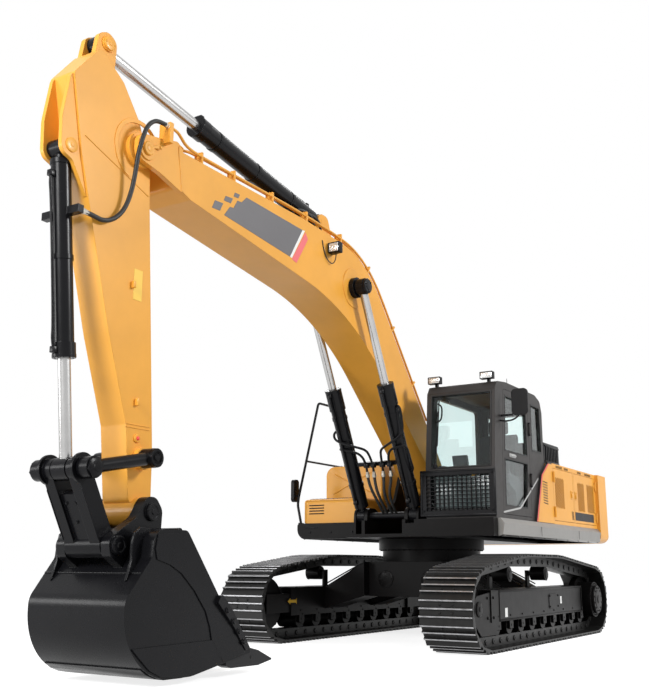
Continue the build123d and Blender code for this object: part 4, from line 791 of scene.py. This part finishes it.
# Silver line that runs down the cab's side and along the foot of its door
for name, start, end, body in (("silver_line_low", (1.012, 1.512), (0.450, 1.588), "cab_door"),
                               ("silver_line_door", (0.450, 1.588), (0.052, 1.824), "cab_door"),
                               ("silver_line_cab", (0.030, 1.837), (-0.246, 2.000), UPPER)):
    Form().plate(band(start, end, 0.011), CAB_SIDE - 0.001, CAB_SIDE + 0.004, 0.001).piece(name, body, SILVER)

# Front: gaskets of the windscreen and foot pane, wiper, guard bolts
front = Form()
for z_a, z_b, x_low, x_high in ((2.040, 2.930, 1.233, 1.157), (1.540, 1.950, 1.242, 1.242)):
    low_left, low_right, high_left, high_right = [Vector(place) for place in (
        (x_low, 0.600, z_a), (x_low, 1.370, z_a), (x_high, 0.600, z_b), (x_high, 1.370, z_b))]
    for start, end in ((low_left, low_right), (high_left, high_right), (low_left, high_left),
                       (low_right, high_right)):
        over = (end - start).normalized() * 0.004
        front.bar(start - over, end + over, 0.012, 0.009, 0.004, 10)
front.piece("front_gaskets", UPPER, RUBBER)
wiper = Form().turned((1.232, 0.660, 2.060), (1, 0, 0), [(0, 0.030), (0.014, 0.028), (0.020, 0.014)], 20)
start, end = Vector((1.250, 0.660, 2.060)), Vector((1.212, 0.700, 2.720))
wiper.turned(start, end - start, [(0, 0.010), (0.1, 0.007), ((end - start).length, 0.004)], 8)
wiper.bar((1.228, 0.690, 2.300), (1.188, 0.712, 2.880), 0.008, 0.004, 0.020).piece("wiper", UPPER, TRIM)
# An opaque plate just behind the foot pane, painted grey-teal: the glass's tint and the reflection the lower
# glass shows, painted
Form().box((1.218, 0.640, 1.560), (1.222, 1.340, 1.930), 0.001).piece("foot_pane_painted_reflection", UPPER, FOOT_PANE_REFLECTION)
guard = Form().bolts([(1.276, y, z) for y in (0.520, 1.395) for z in (1.530, 1.960)], (1, 0, 0), 0.012)
for y_a, y_b, z_a, z_b in ((0.480, 1.432, 1.466, 1.492), (0.480, 1.432, 1.985, 2.010),
                           (0.480, 0.506, 1.490, 1.988), (1.408, 1.434, 1.490, 1.988)):
    guard.box((1.272, y_a, z_a), (1.282, y_b, z_b), 0.004)
guard.piece("guard_rim", UPPER, TRIM)

# Lamps on the cab's roof and on the boom
for name, y in (("right", 0.613), ("left", 1.301)):
    shell = Form().rim((1.106, y - 0.082, 3.093), (1.118, y + 0.082, 3.182), 0.010, 0.003)
    shell.boxes((1.034, y - 0.060, 3.108), (1.044, y + 0.060, 3.114), (0, 0, 0.018), 4, 0.002)
    shell.piece("roof_lamp_shell_" + name, UPPER, TRIM)
    glass = Form().box((1.106, y - 0.073, 3.102), (1.114, y + 0.073, 3.173), 0.004)
    glass.boxes((1.112, y - 0.062, 3.108), (1.1155, y - 0.052, 3.167), (0, 0.018, 0), 7, 0.0015)
    glass.piece("roof_lamp_lens_" + name, UPPER, LENS)
LAMP_Z = 4.363
housing = Form().box((2.950, 0.246, LAMP_Z - 0.062), (3.030, 0.392, LAMP_Z + 0.062), 0.010)
housing.rim((3.022, 0.250, LAMP_Z - 0.058), (3.040, 0.388, LAMP_Z + 0.058), 0.008, 0.002)
housing.piece("boom_lamp_housing", "boom", TRIM)
glass = Form().box((3.026, 0.258, LAMP_Z - 0.050), (3.034, 0.380, LAMP_Z + 0.050))
glass.boxes((3.032, 0.264, LAMP_Z - 0.046), (3.036, 0.274, LAMP_Z + 0.046), (0, 0.019, 0), 6, 0.0015)
glass.piece("boom_lamp_lens", "boom", LENS)
pipe("boom_lamp_cable", [(x, BOOM_SIDE + off, z) for x, off, z in (
    (2.945, 0.060, 4.325), (2.930, 0.050, 4.250), (2.975, 0.030, 4.180), (3.060, 0.012, 4.215),
    (3.130, 0.006, 4.330), (3.150, 0.004, 4.420))], 0.006, "boom", RUBBER)

# Mirrors, antenna and roof hatch
Form().box((0.957, 1.578, 2.660), (0.9605, 1.742, 2.940), 0.0015).piece("mirror_glass_left", UPPER, CHROME)
pipe("mirror_rod_left", [(1.010, CAB_SIDE - 0.002, 2.590), (1.010, CAB_SIDE + 0.070, 2.570),
                         (0.990, CAB_SIDE + 0.200, 2.600), (0.985, CAB_SIDE + 0.240, 2.660)],
     0.010, UPPER, TRIM)
Form().plate([(0.830, 1.752), (0.910, 1.752), (0.914, 1.770), (0.914, 1.990), (0.910, 2.008), (0.830, 2.008),
              (0.826, 1.990), (0.826, 1.770)], -1.6135, -1.6175, 0.003
             ).piece("mirror_back_right", UPPER, TRIM)
Form().turned((0.500, 1.330, 3.082), (0, 0, 1),
              [(0, 0.016), (0.020, 0.014), (0.024, 0.004), (0.110, 0.003)], 16).piece("antenna", UPPER, TRIM)
roof = Form().box((0.000, 0.700, 3.082), (0.640, 1.260, 3.096), 0.006)
roof.boxes((0.050, 0.760, 3.092), (0.110, 0.840, 3.102), (0.480, 0, 0), 2, 0.004)
roof.piece("roof_hatch", UPPER, CAB)

# Inside of the cab
SEAT_Y = 0.9775
pads = Form().box((0.010, SEAT_Y - 0.205, 1.862), (0.460, SEAT_Y + 0.205, 1.905), 0.018)
for way in (-1, 1):
    pads.box((0.030, SEAT_Y + way * 0.150, 1.870), (0.470, SEAT_Y + way * 0.225, 1.930), 0.022)
pads.box((-0.095, SEAT_Y - 0.130, 2.570), (-0.005, SEAT_Y + 0.130, 2.750), 0.035)
pads.box((-0.065, SEAT_Y - 0.075, 2.540), (-0.040, SEAT_Y + 0.075, 2.600), 0.008)
pads.piece("seat_pads", UPPER, FABRIC)
levers = Form()
for way in (-1, 1):
    levers.turned((0.440, SEAT_Y + way * 0.305, 1.985), (0.15, 0, 1),
                  [(0, 0.038), (0.030, 0.030), (0.060, 0.014), (0.130, 0.011), (0.150, 0.022), (0.230, 0.026),
                   (0.262, 0.018)], 20)
    y = SEAT_Y + way * 0.070
    levers.turned((0.900, y, 1.468), (-0.20, 0, 1),
                  [(0, 0.020), (0.200, 0.010), (0.480, 0.010), (0.500, 0.020), (0.580, 0.022),
                   (0.600, 0.010)], 16)
    levers.plate([(0.940, 1.470), (1.080, 1.530), (1.075, 1.545), (0.935, 1.488)], y - 0.045, y + 0.045,
                 0.003)
levers.piece("levers_and_pedals", UPPER, PLASTIC)
panel = Form().plate([(0.560, 2.005), (0.600, 2.010), (0.660, 2.240), (0.640, 2.250), (0.610, 2.240)],
                     CAB_SIDE - 0.795, CAB_SIDE - 0.595, 0.006)
panel.box((0.180, 0.600, 1.470), (0.900, 0.665, 2.000), 0.020).piece("monitor", UPPER, PLASTIC)
lining = Form().box((-0.200, 0.640, 2.990), (0.800, 1.320, 3.012), 0.008)
lining.box((0.860, 0.700, 2.940), (0.980, 1.260, 2.990), 0.012).piece("roof_lining", UPPER, PLASTIC)
pipe("inner_grab_bar", [(1.080, 0.625, 2.850), (1.050, 0.680, 2.840), (1.060, 0.690, 2.720),
                        (1.090, 0.680, 2.620), (1.110, 0.625, 2.610)], 0.010, UPPER, TRIM)

# Boom: band and stripes
for name, outline, material in (
        ("boom_band", [(3.550, 4.414), (4.562, 4.435), (4.642, 4.357), (4.709, 4.352), (4.767, 4.256),
                       (4.825, 4.250), (4.911, 4.137), (3.785, 4.046)], GREY),
        ("boom_white_stripe", [(3.550, 4.414), (3.501, 4.419), (3.747, 4.042), (3.785, 4.046)], WHITE),
        ("boom_pink_stripe", [(3.490, 4.408), (3.440, 4.339), (3.657, 4.012), (3.747, 4.030)], PINK),
        ("boom_square_1", [(5.055, 4.238), (4.929, 4.248), (4.976, 4.157), (5.096, 4.150)], GREY),
        ("boom_square_2", [(4.894, 4.337), (4.781, 4.347), (4.813, 4.288), (4.922, 4.281)], GREY),
        ("boom_square_3", [(4.752, 4.421), (4.671, 4.426), (4.697, 4.380), (4.772, 4.374)], GREY)):
    side_film(name, outline, "boom", material, BOOM_SIDE)

# Pipes that run along the boom's top plate, on both sides, to the bucket cylinder's hoses
ARC_MIDDLE, ARC_R = (2.782, 3.216), 1.300        # of the bend in the boom's top plate
ARC_FIRST, ARC_LAST = 138.4, 92.5                # degrees
PIPE_R = 0.014


def above_boom(lift):
    """Points x, z along the boom's top plate, that far off it."""
    turn = math.radians(ARC_FIRST)
    start = (ARC_MIDDLE[0] + math.cos(turn) * (ARC_R + lift), ARC_MIDDLE[1] + math.sin(turn) * (ARC_R + lift))
    straight = [(start[0] - math.sin(turn) * back, start[1] + math.cos(turn) * back)
                for back in (1.85, 1.2, 0.6, 0.1)]
    bend = arc(ARC_MIDDLE, ARC_R + lift, ARC_FIRST - 6, ARC_LAST + 3, 4)
    return straight + bend + [(3.500, 4.548 + lift), (4.500, 4.539 + lift), (5.300, 4.532 + lift)]


for side, hand in SIDES:
    outer, inner = side * (BOOM_SIDE - 0.020), side * (BOOM_SIDE - 0.075)
    pipe("boom_pipe_%s_1" % hand, at_y(above_boom(0.070), outer) + [
        (5.480, side * 0.228, 4.615), (5.600, side * 0.262, 4.655), (5.680, side * 0.285, 4.668),
        (5.754, side * 0.285, 4.668)], PIPE_R, "boom", BODY)
    pipe("boom_pipe_%s_2" % hand, at_y(above_boom(0.095) + [(5.420, 4.610), (5.500, 4.580), (5.520, 4.550)],
                                       inner), PIPE_R, "boom", BODY)
clamps = Form()
for x, z, lean in ((0.960, 3.123, 138.4), (1.500, 3.731, 138.4), (2.100, 4.322, 121.6), (2.724, 4.514, 92.5),
                   (3.450, 4.546, 90), (4.100, 4.543, 90), (4.750, 4.537, 90), (5.250, 4.532, 90)):
    way = Vector((math.cos(math.radians(lean)), 0, math.sin(math.radians(lean))))
    for side, hand in SIDES:
        foot = Vector((x, side * (BOOM_SIDE - 0.048), z))
        low, high = foot - way * 0.010, foot + way * 0.112
        clamps.plate(band((low.x, low.z), (high.x, high.z), 0.011), side * (BOOM_SIDE - 0.096),
                     side * (BOOM_SIDE - 0.001), 0.003)
        clamps.bolt(foot + way * 0.113, way, 0.007)
clamps.piece("boom_pipe_clamps", "boom", BODY)

# Arm cylinder's foot: valve block, fittings and short hoses
valve = Form().box((3.330, -0.100, 4.535), (3.620, 0.100, 4.610), 0.008)
for x in (3.380, 3.450, 3.520, 3.590):
    valve.turned((x, 0.060, 4.600), (0, 0.4, 1),
                 [(0, 0.020), (0.030, 0.020), (0.034, 0.015), (0.060, 0.015)], 6)
valve.piece("boom_valve_block", "boom", TRIM)
for i, x in enumerate((3.380, 3.520)):
    pipe("arm_cylinder_foot_hose_%d" % (i + 1), [(x - back, y, z) for back, y, z in (
        (0, 0.084, 4.650), (0.010, 0.140, 4.685), (0.120, 0.165, 4.700), (0.260, 0.165, 4.685),
        (0.330, 0.158, 4.620), (0.340, 0.150, 4.540))], 0.016, "boom", RUBBER)

# Welds, doublers and pins on the boom
for side, hand in SIDES:
    out = (0, side, 0)
    pipe("boom_nose_weld_" + hand, at_y([(5.530, 4.564), (5.610, 4.606), (5.560, 4.380), (5.530, 4.148)],
                                        side * (BOOM_SIDE + 0.001)), 0.006, "boom", BODY)
    caps = Form().cap(BOOM_EYE, side * 0.407, side,
                      [(0, 0.088), (0.030, 0.088), (0.038, 0.080), (0.038, 0.050), (0.044, 0.046),
                       (0.046, 0.016)], 36)
    caps.bolts(ring_of((BOOM_EYE[0], side * 0.445, BOOM_EYE[1]), out, 0.064, 3, 0.5), out, 0.010)
    caps.piece("boom_eye_cap_" + hand, "boom_cylinder_rods", CYLINDER)
    Form().plate(arc(BOOM_EYE, 0.235, 0, 360, 33)[:-1], side * BOOM_SIDE, side * (BOOM_SIDE + 0.008), 0.003
                 ).piece("boom_eye_doubler_" + hand, "boom", BODY)
    nose = Form().cap(BOOM_NOSE, side * 0.253, side,
                      [(0, 0.062), (0.018, 0.062), (0.022, 0.056), (0.022, 0.030), (0.026, 0.026),
                       (0.028, 0.008)])
    nose.plate([(5.840, 4.430), (5.880, 4.460), (5.960, 4.415), (5.950, 4.395), (5.880, 4.425)], side * 0.252,
               side * 0.268, 0.003)
    nose.bolt((5.860, side * 0.269, 4.440), out, 0.012)
    nose.piece("boom_nose_pin_" + hand, "boom", BODY)
    nut = Form().turned((5.770, side * 0.285, 4.668), (1, 0, 0),
                        [(0, 0.030), (0.028, 0.030), (0.032, 0.024), (0.060, 0.024)], 6)
    nut.piece("hose_nut_" + hand, "boom", ZINC)


# Cylinders: bands, a gland ring with its bolts and a pipe along each barrel
def along_line(foot, eye, along, out, y=0.0):
    """A place beside the line between two pins: that far along it and that far above it."""
    length = math.dist(foot, eye)
    ux, uz = (eye[0] - foot[0]) / length, (eye[1] - foot[1]) / length
    return (foot[0] + ux * along - uz * out, y, foot[1] + uz * along + ux * out)


def barrel_fittings(name, foot, eye, y, length, outer, bands, body, way=1):
    """Bands, a gland ring with its bolts, and a rigid pipe from the port at the gland to the foot."""
    line = Vector((eye[0] - foot[0], 0, eye[1] - foot[1])).normalized()
    bore = outer - 0.006
    form = Form()
    for at in bands:
        ring = [(0, outer + 0.001), (0.002, outer + 0.007), (0.042, outer + 0.007), (0.044, outer + 0.001)]
        form.turned(along_line(foot, eye, at - 0.022, 0, y), line, ring, 40, bore)
    form.turned(along_line(foot, eye, length - 0.030, 0, y), line,
                [(0, outer + 0.014), (0.024, outer + 0.014), (0.028, outer + 0.008)], 40, bore)
    form.bolts(ring_of(along_line(foot, eye, length - 0.003, 0, y), line, outer - 0.008, 10), line, 0.006)
    for at in (length - 0.060, 0.230):
        port = along_line(foot, eye, at, way * (outer + 0.020), y)
        form.box([c - 0.026 for c in port], [c + 0.026 for c in port], 0.006)
    form.piece(name + "_fittings", body, CYLINDER)
    route = ((length - 0.060, 0.024), (length - 0.140, 0.040), (length - 0.240, 0.026), (length * 0.5, 0.024),
             (0.400, 0.026), (0.300, 0.036), (0.230, 0.024))
    pipe(name + "_pipe", [along_line(foot, eye, at, way * (outer + off), y) for at, off in route], 0.013,
         body, CYLINDER)


barrel_fittings("arm_cylinder", ARM_CYLINDER_FOOT, ARM_EYE, 0.0, 2.210, 0.100, (0.600, 1.250, 1.900),
                "arm_cylinder_barrel")
barrel_fittings("bucket_cylinder", BUCKET_CYLINDER_FOOT, ROD_PIN, 0.0, 1.700, 0.080, (0.120, 0.900),
                "bucket_cylinder_barrel")
for side, hand in SIDES:
    barrel_fittings("boom_cylinder_" + hand, BOOM_CYLINDER_FOOT, BOOM_EYE, side * 0.360, 1.670, 0.088,
                    (0.420, 1.300), BARRELS, -1)

# Pipes between the boom cylinders: over a bar, through clamps and nuts, to a swivel on their foot axis
BAR = (1.485, 2.080)
BAR_PIPES = (
    (-0.116, [(1.590, -0.445, 2.300), (1.660, -0.425, 2.285), (1.685, -0.300, 2.262), (1.670, -0.170, 2.230),
              (1.610, -0.120, 2.175)]),
    (-0.026, [(1.680, -0.440, 2.520), (1.685, -0.490, 2.490), (1.690, -0.480, 2.420), (1.735, -0.390, 2.365),
              (1.740, -0.158, 2.293), (1.670, -0.045, 2.258), (1.600, -0.030, 2.180)]),
    (0.101, [(1.800, 0.440, 2.740), (1.820, 0.490, 2.730), (1.795, 0.502, 2.620), (1.740, 0.492, 2.450),
             (1.755, 0.460, 2.378), (1.720, 0.240, 2.279), (1.630, 0.130, 2.252), (1.590, 0.115, 2.170)]),
    (0.203, [(1.440, 0.440, 1.990), (1.480, 0.494, 2.010), (1.560, 0.505, 2.080), (1.640, 0.505, 2.215),
             (1.680, 0.495, 2.275), (1.705, 0.430, 2.268), (1.660, 0.270, 2.245), (1.590, 0.210, 2.160)]))
clamps = Form()
nuts = Form()
for i, (y, route) in enumerate(BAR_PIPES):
    foot = [(BAR[0] + 0.045, y, BAR[1] - 0.010), (BAR[0] + 0.020, y, BAR[1] - 0.120)]
    pipe("bar_pipe_%d" % (i + 1), route + foot, 0.015, BARRELS, TRIM)
    pipe("foot_pipe_%d" % (i + 1), [foot[1], (1.488, y * 0.95, 1.880), (1.440, y * 0.7, 1.760),
                                    (1.330, y * 0.55, 1.640), (1.200, y * 0.55, 1.525)],
         0.018, BARRELS, RUBBER)
    clamps.box((BAR[0] + 0.018, y - 0.028, BAR[1] - 0.024), (BAR[0] + 0.074, y + 0.028, BAR[1] + 0.024),
               0.005)
    nuts.turned((BAR[0] + 0.030, y, BAR[1] - 0.070), (-0.22, 0, -1),
                [(0, 0.020), (0.030, 0.020), (0.032, 0.026), (0.066, 0.026), (0.070, 0.020)], 6)
clamps.cap(BOOM_CYLINDER_FOOT, -0.262, 1, [(0, 0.036), (0.004, 0.040), (0.520, 0.040), (0.524, 0.036)], 24)
clamps.piece("bar_clamps", BARRELS, TRIM)
nuts.piece("bar_nuts", BARRELS, ZINC)

# Arm: welds, crescents round the boom's nose, tabs, pins and a blank label
for side, hand in SIDES:
    out = (0, side, 0)
    y = side * (ARM_SIDE + 0.001)
    pipe("arm_weld_" + hand, at_y([(6.617, 4.279), (6.240, 4.150), (5.848, 4.017)], y), 0.005, "arm", BODY)
    Form().plate(arc(BOOM_NOSE, 0.290, -70, 160, 24) + arc(BOOM_NOSE, 0.250, 160, -70, 24), side * ARM_SIDE,
                 side * (ARM_SIDE + 0.007), 0.003).piece("arm_crescent_" + hand, "arm", BODY)
    tabs = Form()
    for x, z in ((5.990, 3.180), (5.880, 2.200)):
        tabs.box((x - 0.014, y, z - 0.030), (x + 0.014, side * (ARM_SIDE + 0.034), z + 0.030), 0.005)
    tabs.piece("arm_tabs_" + hand, "arm", BODY)
    pins = Form().cap(ARM_EYE, side * 0.121, side,
                      [(0, 0.062), (0.012, 0.060), (0.016, 0.046), (0.016, 0.022), (0.020, 0.018),
                       (0.021, 0.006)])
    pins.bolts(ring_of((ARM_EYE[0], side * 0.134, ARM_EYE[1]), out, 0.050, 2, 0.8), out, 0.008)
    pins.cap(BUCKET_CYLINDER_FOOT, side * 0.104, side,
             [(0, 0.062), (0.028, 0.060), (0.032, 0.046), (0.032, 0.018), (0.036, 0.014)])
    pins.piece("arm_top_pins_" + hand, "arm", BODY)
    Form().cap(LINK_PIN, side * 0.329, side,
               [(0, 0.074), (0.006, 0.072), (0.006, 0.056), (0.001, 0.052), (0.001, 0.030), (0.008, 0.026),
                (0.009, 0.008)], 36).piece("link_cap_" + hand, "arm", LINK)
side_film("arm_label", rectangle(5.870, 5.975, 3.060, 3.330), "arm", LABEL, ARM_SIDE)
GREASE = (5.851, 1.904)
Form().cap(GREASE, ARM_SIDE - 0.002, 1, [(0, 0.036), (0.012, 0.036), (0.018, 0.030)], 28
           ).piece("grease_boss", "arm", BODY)
Form().cap(GREASE, ARM_SIDE + 0.014, 1, [(0, 0.018), (0.008, 0.016), (0.014, 0.007)], 16
           ).piece("grease_cap", "arm", RED)
for i, z in enumerate((1.990, 2.016)):
    pipe("arm_seam_%d" % (i + 1), at_y([(5.706, z), (5.850, z - 0.004), (5.990, z)], ARM_SIDE + 0.001),
         0.005, "arm", BODY)

# Links: ends of the pins, beads and bolts of the H-link
for side, hand in SIDES:
    ends = Form().cap(ROD_PIN, side * 0.304, side,
                      [(0, 0.082), (0.016, 0.080), (0.024, 0.060), (0.024, 0.034), (0.030, 0.030),
                       (0.031, 0.010)], 6)
    ends.cap(LINK_PIN, side * 0.304, side, [(0, 0.076), (0.006, 0.074)], 36)
    ends.piece("side_link_ends_" + hand, "side_links", LINK)
link_fittings = Form()
h_way = Vector((BUCKET_LINK_PIN[0] - ROD_PIN[0], 0, BUCKET_LINK_PIN[1] - ROD_PIN[1])).normalized()
h_out = Vector((-h_way.z, 0, h_way.x))           # the side that faces forward
if h_out.x < 0:
    h_out = -h_out
start = Vector((ROD_PIN[0], 0, ROD_PIN[1]))
link_fittings.bolts([start + h_way * at + h_out * 0.051 + Vector((0, y, 0))
                     for at, y in ((0.260, -0.050), (0.260, 0.050), (0.420, 0.0))], h_out, 0.012)
for side, hand in SIDES:
    edge = start + h_out * 0.076 + Vector((0, side * 0.1875, 0))
    link_fittings.bar(edge + h_way * 0.130, edge + h_way * 0.560, 0.005, 0.002, 0.010)
link_fittings.piece("h_link_fittings", "h_link", LINK)

# Bucket: pins, doublers, ribs, wear plates, cutter bolts, lip shrouds and the pins of the teeth
LIP_X, LIP_HALF = 4.840, 0.600       # where the lip is, and half the bucket's width there
BACK_X, BACK_HALF = 6.285, 0.512     # the same for its back


def bucket_side(x):
    """Half the bucket's width at that x."""
    return LIP_HALF - (x - LIP_X) * (LIP_HALF - BACK_HALF) / (BACK_X - LIP_X)


# Plates that lie on the bucket's sloping sides, with their thickness
SIDE_PLATES = {
    "doubler": (0.010, [(5.201, 0.135), (5.254, 0.204), (5.339, 0.309), (5.365, 0.411), (5.420, 0.534),
                        (5.559, 0.698), (5.709, 0.829), (5.836, 0.895), (5.983, 0.937), (6.004, 1.020),
                        (5.980, 1.130), (5.656, 1.145), (5.275, 0.655), (4.905, 0.232), (4.930, 0.182)]),
    "heel": (0.013, [(5.341, 0.310), (6.205, 0.293), (6.120, 0.215), (6.020, 0.130), (5.900, 0.076),
                     (5.720, 0.056), (5.560, 0.057), (5.300, 0.102), (5.201, 0.123), (5.254, 0.204)])}
SHELL_RIB = [(5.930, 1.172), (6.040, 1.182), (6.110, 1.135), (6.134, 1.031), (6.122, 0.930), (6.150, 0.850),
             (6.182, 0.780), (6.145, 0.790), (6.010, 0.950), (5.985, 1.100), (5.930, 1.140)]
for side, hand in SIDES:
    out = (0, side, 0)
    pins = Form()
    for pin in (BUCKET_PIN, BUCKET_LINK_PIN):
        pins.cap(pin, side * 0.306, side, [(0, 0.070), (0.006, 0.068), (0.006, 0.052), (0.002, 0.048),
                                           (0.002, 0.024), (0.008, 0.020)], 36)
        pins.bolts(ring_of((pin[0], side * 0.310, pin[1]), out, 0.060, 2, 0.6), out, 0.008)
    pins.piece("bucket_pins_" + hand, "bucket", BUCKET)
    cutter = at_y([(4.960, 0.275), (5.030, 0.360), (5.105, 0.445), (5.190, 0.535)], side * 0.615)
    Form().bolts(cutter, out, 0.022).piece("cutter_bolts_" + hand, "bucket", BUCKET)
    for name, (thick, outline) in SIDE_PLATES.items():
        form = Form()
        form.prism([[(x, side * (bucket_side(x) + off), z) for x, z in outline] for off in (-0.002, thick)])
        form.piece("bucket_%s_%s" % (name, hand), "bucket", BUCKET)
    Form().plate(SHELL_RIB, side * 0.388, side * 0.412, 0.004).piece("shell_rib_" + hand, "bucket", BUCKET)
pipe("bucket_back_seam", [(6.127, -0.515, 0.835), (6.127, 0.515, 0.835)], 0.008, "bucket", BUCKET)
Form().cap((5.700, 1.150), -0.515, 1, [(0, 0.030), (0.004, 0.034), (1.026, 0.034), (1.030, 0.030)], 24
           ).piece("bucket_top_tube", "bucket", BUCKET)
Form().plate([(6.082, 0.138), (6.020, 0.097), (5.930, 0.064), (5.820, 0.044), (5.600, 0.040), (5.600, 0.055),
              (5.820, 0.056), (5.925, 0.080), (6.008, 0.113), (6.066, 0.154)], -0.505, 0.505, 0.001
             ).piece("bottom_wear_plate", "bucket", BUCKET)
shrouds = Form()
for y in (-0.375, -0.125, 0.125, 0.375):
    shrouds.plate([(4.850, 0.215), (4.770, 0.200), (4.755, 0.192), (4.770, 0.178), (4.850, 0.190)], y - 0.060,
                  y + 0.060, 0.004)
shrouds.piece("lip_shrouds", "bucket", TOOTH)
pins = Form()
for i in range(5):
    for way in (1, -1):
        pins.cap((4.760, 0.135), -0.500 + 0.250 * i + way * 0.049, way,
                 [(0, 0.017), (0.004, 0.015), (0.005, 0.006)], 12)
pins.piece("tooth_pins", "bucket", TOOTH)

# Hoses from the boom to the bucket cylinder: held at both ends, 1.6 m each
HOSE_POINTS = [
    (5.800, 0.285, 4.668), (5.915, 0.285, 4.668), (6.010, 0.290, 4.617), (6.075, 0.292, 4.530),
    (6.108, 0.288, 4.425), (6.125, 0.262, 4.290), (6.120, 0.235, 4.110), (6.135, 0.212, 3.930),
    (6.185, 0.198, 3.775), (6.275, 0.188, 3.665), (6.395, 0.178, 3.605), (6.520, 0.175, 3.620),
    (6.639, 0.175, 3.620)]
HOSE_R = 0.020
for side, hand in SIDES:
    points = [(x, side * y, z) for x, y, z in HOSE_POINTS]
    hose, route = tube("hose_" + hand, points, HOSE_R, RUBBER)
    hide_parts("bucket_hose_" + hand)
    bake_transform(hose)
    nut = Form().turned((6.636, side * 0.175, 3.620), (-1, 0, 0),
                        [(0, 0.026), (0.030, 0.026), (0.034, 0.0225), (0.070, 0.0215)], 6)
    nut.piece("hose_end_" + hand, "bucket_cylinder_barrel", ZINC)
